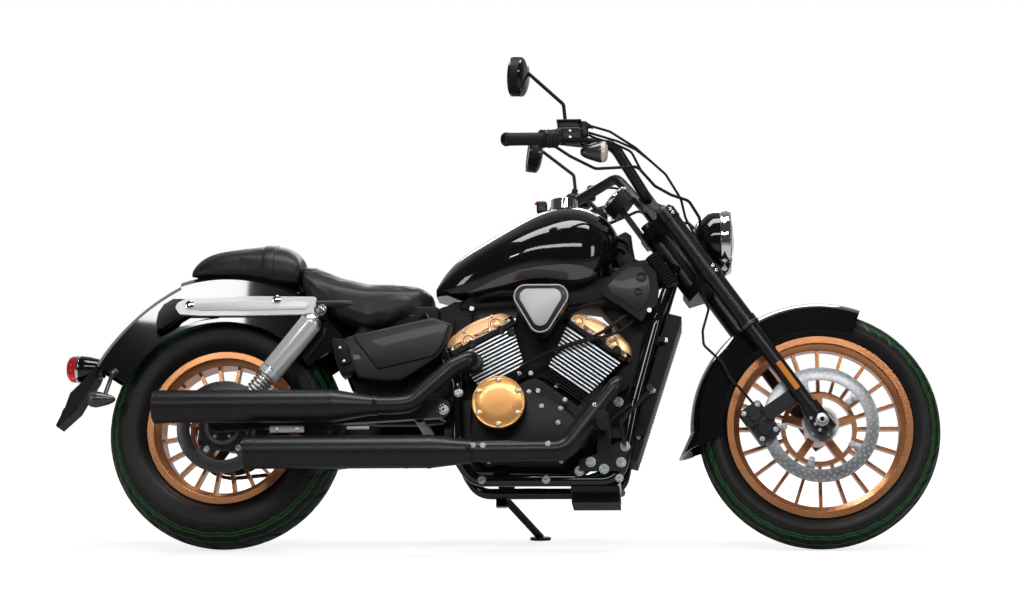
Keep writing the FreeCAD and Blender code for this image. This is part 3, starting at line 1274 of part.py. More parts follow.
# x, half width, top, shoulder, belly, floor, floor half width
RIDER_SEAT = (
    (581, 40, 710, 700, 688, 670, 30),
    (549, 78, 733, 714, 684, 650, 62),
    (470, 122, 734, 706, 664, 626, 100),
    (395, 142, 738, 706, 656, 606, 124),
    (320, 144, 757, 720, 678, 638, 124),
    (250, 132, 787, 746, 714, 684, 112),
    (218, 118, 800, 766, 744, 728, 100),
)
PASSENGER_SEAT = (
    (206, 92, 818, 794, 768, 735, 80),
    (172, 106, 850, 818, 776, 735, 92),
    (100, 112, 862, 826, 780, 735, 96),
    (-26, 108, 847, 816, 776, 735, 92),
    (-84, 94, 826, 798, 768, 735, 80),
    (-112, 72, 792, 778, 764, 744, 60),
)
fender_clear = fender_filling(size["seat_gap"])
rider = body_loft(RIDER_SEAT).cut(fender_clear)
under_seat = side_plate(((366, 590), (366, 690), (600, 690), (600, 590)), -113, 113)
rider = rider.cut(under_seat)
for name, side in SIDES:
    points = [(640, side * 40, 620), (440, side * 92, 656), (345, side * strut_y, 668),
              (rail_end, side * strut_y, 668)]
    rider = rider.cut(rod(points, 60, size["subframe_radius"] + 1))
rider = rider.cut(Part.makeBox(52, 300, 93, Vector(244, -150, 600)))
rider = max(rider.Solids, key=lambda one: one.Volume)
node(feature(rider), "rider_seat")
node(feature(body_loft(PASSENGER_SEAT).cut(fender_clear)), "passenger_seat")

# ---------------------------------------------------------------- covers and small units
SIDE_COVER = ((352, 557), (601, 606), (616, 541), (500, 464), (386, 471))
plates = [feature(soft_plate(SIDE_COVER, side * 123, side * 146, 10)) for _, side in SIDES]
node(group(*plates), "side_covers")
unit = side_plate(((386, 482), (560, 482), (560, 590), (386, 574)), -122.7, 122.7)
unit = unit.fuse(side_plate(((540, 520), (593.7, 534), (593.7, 556), (540, 560)), -40, 40))
node(feature(unit), "electrics_box")
node(feature(side_plate(((342, 462), (385.7, 484), (385.7, 540), (342, 536)), -122, -84)),
     "regulator")
COVER = ((1057, 712), (1085, 751), (1130, 785), (1177, 784), (1207, 755), (1215, 704),
         (1209, 660), (1180, 640), (1168, 612), (1107, 659), (1060, 688))
covers = []
for name, side in SIDES:
    plate = soft_plate(COVER, side * 104, side * 117, 6)
    pin = Part.makeCylinder(6, 97, Vector(1165, side * 9.2, 760), Vector(0, side, 0))
    covers.append(feature(plate.fuse(pin)))
node(group(*covers), "frame_covers")

# ---------------------------------------------------------------- lamps and plate bracket
LAMP_Z = 515.0
LAMP_GAP = 0.3
skin_clear = fender_filling(LAMP_GAP)


def lamp_body(gap):
    """Bullet lamp pointing back, grown by a gap."""
    wide_end = size["tail_lamp_radius"] + gap
    cup = Part.makeCone(25 + gap, wide_end, 72, Vector(-364, 0, LAMP_Z), -X_AXIS)
    lens = Part.makeCylinder(wide_end, 34 + gap, Vector(-436, 0, LAMP_Z), -X_AXIS)
    return cup.fuse(lens)


lamp = lamp_body(0).cut(skin_clear)
node(feature(max(lamp.removeSplitter().Solids, key=lambda one: one.Volume)), "tail_lamp")
rears = []
for name, side in SIDES:
    start = Vector(-289, side * 150, 397)
    shape = Part.makeCone(6, size["rear_signal_radius"], 50, start, -X_AXIS)
    shape = shape.fuse(Part.makeCylinder(size["rear_signal_radius"], 26,
                                         start - Vector(50, 0, 0), -X_AXIS))
    mount = Part.makeCylinder(9, 18, Vector(-304, side * 116.3, 480), Vector(0, side, 0))
    stalk = Part.makeCylinder(6, 78, Vector(-304, side * 130, 480),
                              Vector(-18, side * 20, -70))
    rears.append(feature(shape.fuse([mount, stalk]).removeSplitter()))
node(group(*rears), "rear_turn_signals")

# Plate bracket: a tongue under the fender's end and a blade that carries the plate.
BRACKET = ((-361, 543), (-351, 536), (-372, 505), (-380, 478), (-402, 440), (-430, 388),
           (-480, 341), (-486, 347), (-462, 400), (-450, 440), (-420, 470), (-396, 500),
           (-386, 512))
bracket = side_plate(BRACKET, -34, 34)
wall = size["fender_wall"]
skin_sheet = arc_fender(size["fender_tail_radius"] + LAMP_GAP, size["fender_tail_radius"] - 90,
                        size["rear_fender_half_width"], wall + 2 * LAMP_GAP, tail_centre,
                        TAIL_ANGLES[0], TAIL_ANGLES[1] + 0.03)
bracket = bracket.cut(skin_sheet).cut(lamp_body(LAMP_GAP))
plate_top = Vector(-456, 0, 420)
plate_way = (Vector(-486, 0, 347) - plate_top).normalize()
plate_normal = Vector(plate_way.z, 0, -plate_way.x)
plate_bolts = plate_top + plate_way * 40
for side in (-1, 1):
    at = plate_bolts + Vector(0, side * size["plate_hole_spacing"] / 2, 0)
    bracket = bracket.cut(Part.makeCylinder(size["plate_hole_radius"], 80,
                                            at - plate_normal * 40, plate_normal))
node(feature(max(bracket.removeSplitter().Solids, key=lambda one: one.Volume)), "plate_bracket")

# ---------------------------------------------------------------- foot controls
PEG_PLATE = ((996, 194), (1112, 194), (1134, 262), (1120, 284), (1082, 262), (1080, 322),
             (1046, 322), (1044, 240), (996, 224))
outside = size["cradle_half_width"] + size["cradle_radius"] + 0.2
for name, side in SIDES:
    plate = side_plate(PEG_PLATE, side * outside, side * (outside + 12))
    peg = Part.makeCylinder(9, 110, Vector(1063, side * outside, 306), Vector(0, side, 0))
    rubber = Part.makeCylinder(16, 104, Vector(1063, side * 228, 306), Vector(0, side, 0))
    pedal = rod([(1118, side * (outside + 6), 268), (1118, side * 176, 268),
                 (1110, side * 190, 320), (1186, side * 206, 400)], 12, 6)
    toe = Part.makeCylinder(9, 54, Vector(1188, side * 184, 404), Vector(0, side, 0))
    shape = plate.fuse([peg, rubber, pedal, toe]).removeSplitter()
    node(feature(shape), "foot_controls_" + name)

# ---------------------------------------------------------------- rear caliper
block = Part.makeBox(64, 122 - 57 - 0.3, 52, Vector(64, -(arm_y - arm_half) + 0.3, 362))
slot = Part.makeCylinder(size["rear_disc_radius"] + 6, 2 * slot_half,
                         rear_axle - Vector(0, size["disc_offset"] + slot_half, 0), Y_AXIS)
node(feature(block.cut(slot)), "rear_brake_caliper")

# ---------------------------------------------------------------- side stand
eye = Part.makeCylinder(17, 26, stand_pivot - stand_axis * 13, stand_axis)
leg = Part.makeCylinder(size["stand_leg_radius"], (stand_ankle - stand_pivot).Length,
                        stand_pivot, stand_down)
pad = Part.makeCylinder(size["stand_foot_radius"], size["stand_foot_thickness"], stand_foot,
                        world_up)
stand = leg.fuse([eye, pad, Part.makeSphere(size["stand_leg_radius"], stand_ankle)])
stand = stand.cut(Part.makeCylinder(6.3, 60, stand_pivot - stand_axis * 30, stand_axis))
below = Part.makeBox(300, 300, 40, Vector(-150, -150, -40))
below.Placement = Placement(stand_foot, Rotation(Z_AXIS, world_up)).multiply(below.Placement)
stand = stand.cut(below)
node(feature(stand.removeSplitter()), "side_stand")

# ---------------------------------------------------------------- check, place and write
doc.recompute()
leaning = Placement(Vector(0, 0, lift), Rotation(X_AXIS, -size["lean_angle"]))
low = [1e9] * 3
high = [-1e9] * 3
for piece, label, local in nodes:
    stand_in = piece.Shape.copy()
    stand_in.Placement = leaning.multiply(local).multiply(stand_in.Placement)
    points, _ = stand_in.tessellate(0.5)
    for axis in range(3):
        values = [point[axis] for point in points]
        low[axis] = min(low[axis], min(values))
        high[axis] = max(high[axis], max(values))
middle = Vector((low[0] + high[0]) / 2, (low[1] + high[1]) / 2, 0)
standing = Placement(-middle, Rotation()).multiply(leaning)
for piece, label, local in nodes:
    piece.Placement = standing.multiply(local).multiply(piece.Placement)
doc.recompute()

faults = []
for item in doc.Objects:
    if "Invalid" in item.State or "Error" in item.State:
        faults.append("%s %s" % (item.Label, item.State))
for piece, label, _ in nodes:
    if piece.Shape.isNull() or not piece.Shape.isValid() or not piece.Shape.Solids:
        faults.append(label + " has no valid solid")
if faults:
    raise RuntimeError("; ".join(faults))
os.makedirs("parts", exist_ok=True)
for piece, label, _ in nodes:
    piece.Shape.exportStep("parts/%s.step" % label)
print("plate normal", plate_normal, "bolts", plate_bolts)
print("nodes", len(nodes))
print("box", [round(v, 2) for v in low], [round(v, 2) for v in high])
print("placement", standing.Base, standing.Rotation.Q)
for piece, label, _ in nodes:
    print("%-24s solids %d volume %.0f" % (label, len(piece.Shape.Solids), piece.Shape.Volume))
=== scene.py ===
# %% [markdown]
# # A cruiser motorcycle on its side stand
# The sized model comes first: every sub-part is loaded as it was built, and nothing here
# moves it.  What follows gives each part its finish, and stands finer surfaces in for the
# parts whose real shape is softer than the sized model.

# %% Load the sized model
import json
import math
from functools import partial
import bmesh
import bpy
import numpy as np
from mathutils import Matrix, Vector
from mathutils.bvhtree import BVHTree


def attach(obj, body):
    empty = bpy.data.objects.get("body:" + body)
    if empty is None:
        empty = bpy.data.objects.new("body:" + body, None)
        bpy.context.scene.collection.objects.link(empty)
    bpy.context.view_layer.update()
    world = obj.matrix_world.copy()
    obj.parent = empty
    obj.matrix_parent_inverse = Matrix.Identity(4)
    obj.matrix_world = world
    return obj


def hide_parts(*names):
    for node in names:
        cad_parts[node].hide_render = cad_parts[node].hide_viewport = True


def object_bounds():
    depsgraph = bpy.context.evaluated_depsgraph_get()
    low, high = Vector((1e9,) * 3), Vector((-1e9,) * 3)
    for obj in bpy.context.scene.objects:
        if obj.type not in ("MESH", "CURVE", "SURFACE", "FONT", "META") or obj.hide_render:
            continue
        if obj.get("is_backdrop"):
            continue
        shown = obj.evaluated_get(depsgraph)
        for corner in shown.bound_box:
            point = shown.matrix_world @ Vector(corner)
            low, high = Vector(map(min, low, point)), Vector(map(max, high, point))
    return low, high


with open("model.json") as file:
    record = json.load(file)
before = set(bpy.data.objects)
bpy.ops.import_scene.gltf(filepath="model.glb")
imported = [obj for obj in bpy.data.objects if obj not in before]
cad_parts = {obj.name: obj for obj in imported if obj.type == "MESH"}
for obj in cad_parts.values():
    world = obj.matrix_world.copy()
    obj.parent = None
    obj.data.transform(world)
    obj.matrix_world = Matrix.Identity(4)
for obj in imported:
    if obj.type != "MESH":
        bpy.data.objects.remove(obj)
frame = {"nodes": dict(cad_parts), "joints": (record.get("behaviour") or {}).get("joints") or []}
sized_low, sized_high = (list(corner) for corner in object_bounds())
print("sized box", sized_low, sized_high)

# %% [markdown]
# ## The camera
# A long lens from the machine's right side, a little above the wheel hubs.  Its heading,
# pitch and slight roll give three directions, which are the columns of its matrix.

# %% Camera
CAMERA_PLACE = Vector((0.487673, -6.208317, 0.5707))
HEADING, PITCH, ROLL = -0.0710, 0.0172, -0.0076
LENS, SENSOR, FARTHEST = 76.633, 36.0, 100.0
scene = bpy.context.scene


def linked(name, data):
    thing = bpy.data.objects.new(name, data)
    scene.collection.objects.link(thing)
    return thing


look = Vector((math.sin(HEADING) * math.cos(PITCH), math.cos(HEADING) * math.cos(PITCH),
               math.sin(PITCH)))
level_right = Vector((math.cos(HEADING), -math.sin(HEADING), 0.0))
level_up = level_right.cross(look)
right = level_right * math.cos(ROLL) + level_up * math.sin(ROLL)
up = level_up * math.cos(ROLL) - level_right * math.sin(ROLL)
lens_data = bpy.data.cameras.new("camera")
lens_data.lens, lens_data.sensor_width, lens_data.clip_end = LENS, SENSOR, FARTHEST
scene.camera = linked("camera", lens_data)
scene.camera.matrix_world = (Matrix.Translation(CAMERA_PLACE)
                             @ Matrix((right, up, -look)).transposed().to_4x4())
print("camera at", tuple(round(v, 3) for v in CAMERA_PLACE))

# %% [markdown]
# ## Measuring in the machine's own upright frame
# The machine leans, but a mechanic measures it upright, in millimetres: so far ahead of
# the rear axle, so far to the rider's left, so high above the ground.  The rear wheel's
# joint gives that frame.  Parts of the steering are measured in the fork's frame in the
# same way, with the height running up the steering axis.

# %% Frames to measure in
REAR_AXLE = np.array([0.0, 0.0, 333.0])
joints = {joint["name"]: joint for joint in frame["joints"]}


class Place:
    """A frame to measure in: an origin in metres and three unit directions as rows."""

    def __init__(self, origin, ahead, left, up):
        self.origin = np.array(origin, float)
        self.axes = np.array([ahead, left, up], float)

    def __call__(self, points):
        """Millimetres here as metres of the scene: origin + x * ahead + y * left + z * up."""
        return self.origin + np.asarray(points, float) / 1000.0 @ self.axes

    def way(self, direction):
        return np.asarray(direction, float) @ self.axes

    def inner(self, point, tilt):
        """A frame inside this one, tipped forward by tilt degrees round its Y."""
        c, s = math.cos(math.radians(tilt)), math.sin(math.radians(tilt))
        return Place(self(point), *map(self.way, ((c, 0, -s), (0, 1, 0), (s, 0, c))))


leftward = np.array(joints["rear_wheel_spin"]["axis"])
upward = np.cross((1.0, 0.0, 0.0), leftward)
machine = Place(joints["rear_wheel_spin"]["pos_m"] - upward * REAR_AXLE[2] / 1000,
                (1, 0, 0), leftward, upward)
steer_up = np.array(joints["steering"]["axis"])
fork = Place(joints["steering"]["pos_m"], np.cross(leftward, steer_up), leftward, steer_up)


def measure(point):
    """The opposite of a Place: metres of the scene to millimetres of the machine's frame."""
    return (np.asarray(point, float) - machine.origin) @ machine.axes.T * 1000.0


FRONT_AXLE = measure(joints["front_wheel_spin"]["pos_m"])
print("front axle in the machine's frame", FRONT_AXLE.round(1))

# %% [markdown]
# ## Surfaces from arrays
# Nearly every piece below is one kind of surface: a stack of closed rings.  A turned part
# is a stack of circles, a plate is a stack of outlines, a pipe is a stack of circles along
# a path, and a cushion is a stack of cross sections.  So one function skins a stack of
# rings, and a few short ones compute the stacks.

# %% Rings and the skin over them
AHEAD, SIDE, TOP = np.eye(3)
BACK = -AHEAD


def round_trip(steps):
    return np.linspace(0, 2 * math.pi, steps, endpoint=False)


def polar(centre, reach, angle):
    """(x, z) points at a reach and an angle from centre: 0 is ahead, a quarter turn up."""
    return np.stack([centre[0] + reach * np.cos(angle), centre[-1] + reach * np.sin(angle)], 1)


def at_level(flat, y):
    """(x, z) points as (x, y, z) ones, all at the same y."""
    return np.stack([flat[:, 0], np.full(len(flat), y), flat[:, 1]], 1)


def skin(rings, close_stack=False):
    """Quads between neighbouring rings of an array (rings, points, 3): corner k of ring i
    joins corner k of ring i + 1.  Both ends are closed by one many-sided face, or the last
    ring joins the first."""
    rings = np.asarray(rings, float)
    index = np.arange(rings.shape[0] * rings.shape[1]).reshape(rings.shape[:2])
    grid = np.vstack([index, index[:1]]) if close_stack else index
    grid = np.hstack([grid, grid[:, :1]])
    faces = np.stack([grid[:-1, :-1], grid[:-1, 1:], grid[1:, 1:], grid[1:, :-1]],
                     axis=-1).reshape(-1, 4).tolist()
    if not close_stack:
        faces += [index[0][::-1].tolist(), index[-1].tolist()]
    return rings.reshape(-1, 3), faces


print("a stack of three squares has", len(skin(np.zeros((3, 4, 3)))[1]), "faces")

# %% Turned parts
def basis(way):
    """way as a unit direction, and two more that are square to it."""
    way = np.asarray(way, float) / np.linalg.norm(way)
    first = np.cross(TOP if abs(way[2]) < 0.9 else AHEAD, way)
    first /= np.linalg.norm(first)
    return way, first, np.cross(way, first)


def turned(profile, centre, way, steps=64, whole=False):
    """Turned part: profile rows are (along, radius); each row is a circle
    centre + along * way + radius * (cos t * e1 + sin t * e2).  whole joins last to first."""
    way, first, second = basis(way)
    profile = np.asarray(profile, float)
    angle = round_trip(steps)[:, None]
    circle = np.cos(angle) * first + np.sin(angle) * second
    return skin(np.asarray(centre, float) + profile[:, :1, None] * way
                + profile[:, 1:, None] * circle[None], close_stack=whole)


# %% Plates and blocks
def softened(corners, radius, steps=4):
    """A closed 2-D outline with its corners rounded: each corner becomes an arc that
    touches both sides, no longer than 0.45 of the shorter one."""
    corners = np.asarray(corners, float)
    share = np.linspace(0, 1, steps + 1)[:, None]
    out = []
    for before, here, after in zip(np.roll(corners, 1, 0), corners, np.roll(corners, -1, 0)):
        back, ahead = before - here, after - here
        long_back, long_ahead = np.linalg.norm(back), np.linalg.norm(ahead)
        back, ahead = back / long_back, ahead / long_ahead
        half = math.acos(np.clip(back @ ahead, -1, 1)) / 2
        if half > 1.55:
            out.append(here)
            continue
        reach = min(radius / math.tan(half), 0.45 * min(long_back, long_ahead))
        r = reach * math.tan(half)
        middle = here + (back + ahead) / np.linalg.norm(back + ahead) * r / math.sin(half)
        mixed = ((here + back * reach - middle) * (1 - share)
                 + (here + ahead * reach - middle) * share)
        out.append(middle + mixed / np.linalg.norm(mixed, axis=1)[:, None] * r)
    return np.vstack(out)


def inset(outline, distance):
    """A closed 2-D outline moved inward by distance along its averaged normals."""
    run = np.roll(outline, -1, 0) - np.roll(outline, 1, 0)
    run /= np.linalg.norm(run, axis=1)[:, None] + 1e-12
    x, z = outline.T
    area = np.sum(x * np.roll(z, -1) - np.roll(x, -1) * z)
    return outline + np.stack([-run[:, 1], run[:, 0]], 1) * distance * np.sign(area)


def slab(outline, y_from, y_to, edge=1.5):
    """Plate with an (x, z) outline between two stations across the machine; its rim is a
    quarter round of radius edge at both faces."""
    outline = np.asarray(outline, float)
    quarter = np.radians([0, 30, 60, 90])
    steps = edge * (1 - np.sin(quarter))
    rises = math.copysign(edge, y_to - y_from) * (1 - np.cos(quarter))
    rows = [*zip(steps, y_from + rises), *zip(steps[::-1], (y_to - rises)[::-1])]
    return skin([at_level(inset(outline, step), y) for step, y in rows])


def block(low, high, edge=2.0):
    """Box from its low to its high corner with rounded edges across the machine."""
    (x0, y0, z0), (x1, y1, z1) = low, high
    return slab(softened(((x0, z0), (x1, z0), (x1, z1), (x0, z1)), edge * 1.5, 3), y0, y1,
                edge)


print("a block has", len(block((0, 0, 0), (20, 10, 20))[0]), "points")

# %% Paths and pipes
def smooth_path(corners, steps):
    """Catmull-Rom curve through the corners: a cubic between each two, whose slope at a
    corner is half the run between its neighbours."""
    corners = np.asarray(corners, float)
    whole = np.vstack([2 * corners[0] - corners[1], corners, 2 * corners[-1] - corners[-2]])
    share = np.linspace(0, 1, steps, endpoint=False)[:, None]
    runs = [0.5 * (2 * b + (c - a) * share + (2 * a - 5 * b + 4 * c - d) * share ** 2
                   + (3 * b - 3 * c + d - a) * share ** 3)
            for a, b, c, d in zip(whole, whole[1:], whole[2:], whole[3:])]
    return np.vstack(runs + [corners[-1:]])


def pipe(path, radius, steps=16):
    """Round tube along a path, carried without twist: the side direction of each station
    is the last one's, made square to the new heading."""
    path = np.asarray(path, float)
    heading = np.gradient(path, axis=0)
    heading /= np.linalg.norm(heading, axis=1)[:, None]
    side = basis(heading[0])[1]
    angle = round_trip(steps)[:, None]
    rings = []
    for point, way in zip(path, heading):
        side = side - way * (side @ way)
        side /= np.linalg.norm(side)
        rings.append(point + radius * (np.cos(angle) * side
                                       + np.sin(angle) * np.cross(way, side)))
    return skin(rings)


def walked(line):
    """Distance along a line of points, at each of them."""
    return np.concatenate([[0], np.cumsum(np.linalg.norm(np.diff(line, axis=0), axis=1))])


def resampled(line, distances):
    """Points at these distances along a line."""
    return np.stack([np.interp(distances, walked(line), column) for column in line.T], 1)


print("surface helpers ready")

# %% [markdown]
# ## From arrays to a piece
# A piece may be made of several shapes.  They are put in one mesh, doubled points at
# poles and seams are merged, faces are turned outward, and edges sharper than an angle
# stay sharp.  Every piece then rides on a body of the sized model, and may stand in for
# the sized part of the slot it is given, which hides it.

# %% Make a piece
def joined(*shapes):
    """One (points, faces) pair from several."""
    points, faces, start = [], [], 0
    for shape_points, shape_faces in shapes:
        points.append(np.asarray(shape_points, float))
        faces += [[corner + start for corner in face] for face in shape_faces]
        start += len(shape_points)
    return np.vstack(points), faces


def both(*shapes):
    """The shapes, and then each of them again on the other side of the machine."""
    return [*shapes, *((np.asarray(points) * (1, -1, 1), [face[::-1] for face in faces])
                       for points, faces in shapes)]


def cleaned(mesh, weld, shrink=0.0):
    """Doubled points within weld merged, faces turned outward, edges under shrink gone."""
    shell = bmesh.new()
    shell.from_mesh(mesh)
    bmesh.ops.remove_doubles(shell, verts=shell.verts, dist=weld)
    if shrink:
        bmesh.ops.dissolve_degenerate(shell, edges=shell.edges, dist=shrink)
    bmesh.ops.recalc_face_normals(shell, faces=shell.faces)
    shell.to_mesh(mesh)
    shell.free()
    return mesh


def piece(name, shapes, material, slot, body="frame", stands_in=False, sharp=35,
          place=machine):
    """Mesh object from shapes in millimetres of a frame, riding on a body."""
    points, faces = joined(*shapes)
    mesh = bpy.data.meshes.new(name)
    mesh.from_pydata(place(points), [], faces)
    cleaned(mesh, 2e-6, 1e-6)
    mesh.shade_smooth()
    mesh.set_sharp_from_angle(angle=math.radians(sharp))
    thing = linked(name, mesh)
    mesh.materials.append(material)
    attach(thing, body)
    if stands_in:
        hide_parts(slot)
    print(name, len(mesh.polygons), "faces")
    return thing


turning_piece = partial(piece, body="steering")
fork_piece = partial(turning_piece, place=fork)
print("a piece can be made")

# %% [markdown]
# ## Shared effects
# Real paint, rubber and cast metal are never even.  Three small node groups are built
# once and placed in each material with its own values: one lets roughness wander in
# soft patches, one gives the height of a fine cast or leathery grain, and one finds
# edges, where paint wears thin and dust does not settle.

# %% Nodes in one line each
def feed(node, inputs):
    """Set a node's inputs: each gets a value, or a link from the socket given for it."""
    for label, value in inputs.items():
        if isinstance(value, bpy.types.NodeSocket):
            node.id_data.links.new(value, node.inputs[label])
        else:
            node.inputs[label].default_value = value


def add(tree, kind, inputs=None, **settings):
    node = tree.nodes.new("ShaderNode" + kind)
    for label, value in settings.items():
        setattr(node, label, value)
    feed(node, inputs or {})
    return node


def calc(tree, operation, first, second=0.0):
    return add(tree, "Math", {0: first, 1: second}, operation=operation).outputs[0]


def object_point(tree):
    return add(tree, "TexCoord").outputs["Object"]


def object_noise(tree, scale):
    return add(tree, "TexNoise", {"Vector": object_point(tree), "Detail": 3.0,
                                  "Scale": scale}).outputs["Fac"]


def new_group(name, output, **inputs):
    """A group with float inputs and one float output: the group, the sockets its inputs
    come out of, and the node that takes its output."""
    group = bpy.data.node_groups.new(name, "ShaderNodeTree")
    make = partial(group.interface.new_socket, socket_type="NodeSocketFloat")
    for label, value in inputs.items():
        make(label, in_out="INPUT").default_value = value
    make(output, in_out="OUTPUT")
    given = group.nodes.new("NodeGroupInput").outputs
    return group, given, group.nodes.new("NodeGroupOutput")


# %% Three effect groups
patchy, given, result = new_group("patchy value", "Value", Value=0.4, Spread=0.1, Scale=9.0)
drift = calc(patchy, "SUBTRACT", object_noise(patchy, given["Scale"]), 0.5)
drift = calc(patchy, "MULTIPLY", calc(patchy, "MULTIPLY", drift, given["Spread"]), 2.0)
feed(result, {"Value": calc(patchy, "ADD", given["Value"], drift)})

grain, given, result = new_group("grain height", "Height", Scale=600.0, Cells=0.5)
cells = add(grain, "TexVoronoi", {"Vector": object_point(grain), "Scale": given["Scale"]})
part_cells = calc(grain, "MULTIPLY", cells.outputs["Distance"], given["Cells"])
part_noise = calc(grain, "MULTIPLY", object_noise(grain, given["Scale"]),
                  calc(grain, "SUBTRACT", 1.0, given["Cells"]))
feed(result, {"Height": calc(grain, "ADD", part_cells, part_noise)})

edge_wear, given, result = new_group("edge mask", "Mask", Radius=0.0015, Breakup=60.0)
round_edge = add(edge_wear, "Bevel", {"Radius": given["Radius"]}, samples=4)
flat_face = add(edge_wear, "NewGeometry")
facing = add(edge_wear, "VectorMath", {0: round_edge.outputs["Normal"],
                                       1: flat_face.outputs["Normal"]},
             operation="DOT_PRODUCT").outputs["Value"]
bend = calc(edge_wear, "MULTIPLY", calc(edge_wear, "SUBTRACT", 1.0, facing), 5.0)
bend = calc(edge_wear, "MULTIPLY", bend, object_noise(edge_wear, given["Breakup"]))
feed(result, {"Mask": calc(edge_wear, "MINIMUM", bend, 1.0)})
print("effect groups", [group.name for group in (patchy, grain, edge_wear)])

# %% [markdown]
# ## Finishes
# One function makes every plain finish: a Principled shader whose uniform values are
# set on its own sockets, with wandering roughness, a grain bump, softened edges and,
# where wanted, a second colour along the edges.  Sized parts keep their hard edges in
# the mesh, and the Bevel node rounds the light on them as a casting's fillet would.

# %% A finish
def placed(tree, group, **values):
    """A group's node in a material, with its own values, and the group's one output."""
    return add(tree, "Group", values, node_tree=group).outputs[0]


def principled(name, color, inputs):
    material = bpy.data.materials.new(name)
    material.use_nodes = True
    tree = material.node_tree
    shader = tree.nodes["Principled BSDF"]
    feed(shader, {"Base Color": (*color, 1), **inputs})
    return material, tree, shader


def finish(name, color, rough, metal=0.0, coat=0.0, spread=0.06, patch=9.0, grit=0.0,
           grit_scale=700.0, cells=0.5, soft_edge=1.2, worn=None, tint=0.0, specular=0.5,
           sheen=0.0):
    """Principled material.  color, rough, metal, coat: the surface; spread and patch: how
    far and how often roughness wanders; grit: bump height in mm; soft_edge: mm;
    worn: colour along the edges; tint: how far the colour wanders in brightness."""
    material, tree, shader = principled(name, color, {
        "Metallic": metal, "Coat Weight": coat, "Coat Roughness": 0.03,
        "Specular IOR Level": specular, "Sheen Weight": sheen})
    feed(shader, {"Roughness": placed(tree, patchy, Value=rough, Spread=spread,
                                      Scale=patch)})
    shade = (*color, 1)
    if tint:
        wander = placed(tree, patchy, Value=1.0, Spread=tint, Scale=patch * 2.3)
        shade = add(tree, "VectorMath", {0: color, "Scale": wander},
                    operation="SCALE").outputs[0]
    if worn:
        mask = placed(tree, edge_wear, Radius=soft_edge / 1000, Breakup=70.0)
        shade = add(tree, "Mix", {0: mask, 6: shade, 7: (*worn, 1)},
                    data_type="RGBA").outputs[2]
    feed(shader, {"Base Color": shade})
    normal = {}
    if soft_edge:
        rounder = add(tree, "Bevel", {"Radius": soft_edge / 1000}, samples=4)
        normal = {"Normal": rounder.outputs["Normal"]}
    if grit:
        height = placed(tree, grain, Scale=grit_scale, Cells=cells)
        bump = add(tree, "Bump", {"Distance": grit / 1000, "Height": height, **normal})
        normal = {"Normal": bump.outputs["Normal"]}
    feed(shader, normal)
    return material


print("shared node groups", len(bpy.data.node_groups))

# %% [markdown]
# Blacks are told apart by how wide and how bright their highlights are: paint has a
# clear coat over a nearly black ground, castings and plastic only a wide soft one.

# %% Paints, plastics and castings
INK = (0.004, 0.004, 0.005)
gloss_black = finish("gloss black paint", INK, 0.10, coat=1.0, spread=0.03, soft_edge=0,
                     specular=0.1)
gloss_sized = finish("gloss black paint on sheet", INK, 0.12, coat=1.0, spread=0.03,
                     soft_edge=2.5, specular=0.06)
satin_black = finish("satin black powder coat", (0.006, 0.006, 0.008), 0.36, coat=0.1,
                     grit=0.02, grit_scale=900, worn=(0.035, 0.035, 0.04), soft_edge=1.5,
                     specular=0.32)
matte_black = finish("matt black plastic", (0.006, 0.006, 0.007), 0.50, grit=0.05,
                     grit_scale=1100, cells=0.7, soft_edge=1.5, tint=0.15, specular=0.20)
dark_cast = finish("black engine casting", (0.005, 0.005, 0.006), 0.40, grit=0.10,
                   grit_scale=420, cells=0.6, worn=(0.05, 0.05, 0.05), specular=0.25)
panel_black = finish("satin panel paint", (0.012, 0.010, 0.012), 0.38, coat=0.1, tint=0.1,
                     grit=0.015, soft_edge=1.5, specular=0.35)
exhaust_black = finish("black exhaust coating", (0.010, 0.009, 0.010), 0.34, spread=0.08,
                       patch=14, grit=0.02, worn=(0.05, 0.045, 0.042), soft_edge=1.0,
                       tint=0.2, specular=0.34)
trim_grey = finish("grey trim lacquer", (0.075, 0.062, 0.060), 0.22, coat=0.8, spread=0.04,
                   soft_edge=1.5, tint=0.08)
signal_grey = finish("dark grey signal body", (0.022, 0.023, 0.026), 0.28, coat=0.6,
                     tint=0.1, soft_edge=0)
dial_dark = finish("dark dial glass", (0.006, 0.007, 0.010), 0.08, coat=1.0, spread=0.03,
                   soft_edge=0)
rubber = finish("black rubber", (0.007, 0.007, 0.008), 0.60, grit=0.04, grit_scale=1300,
                specular=0.22, soft_edge=0.8, tint=0.15, sheen=0.1)
wire_black = finish("ribbed cable sleeve", (0.008, 0.008, 0.009), 0.5, grit=0.25,
                    grit_scale=420, cells=0.2, soft_edge=0, specular=0.25)
vinyl = finish("black seat vinyl", (0.010, 0.010, 0.011), 0.42, spread=0.07, patch=12,
               grit=0.12, grit_scale=620, cells=0.75, soft_edge=0, tint=0.12, specular=0.32)
red_button = finish("red switch", (0.75, 0.02, 0.015), 0.35, soft_edge=0.6)
hole_dark = finish("shadow in a hole", (0.01, 0.01, 0.01), 0.8, soft_edge=0)
hole_light = finish("daylight in a hole", (0.80, 0.82, 0.84), 0.7, soft_edge=0,
                    specular=0.1)
print("materials so far", len(bpy.data.materials))

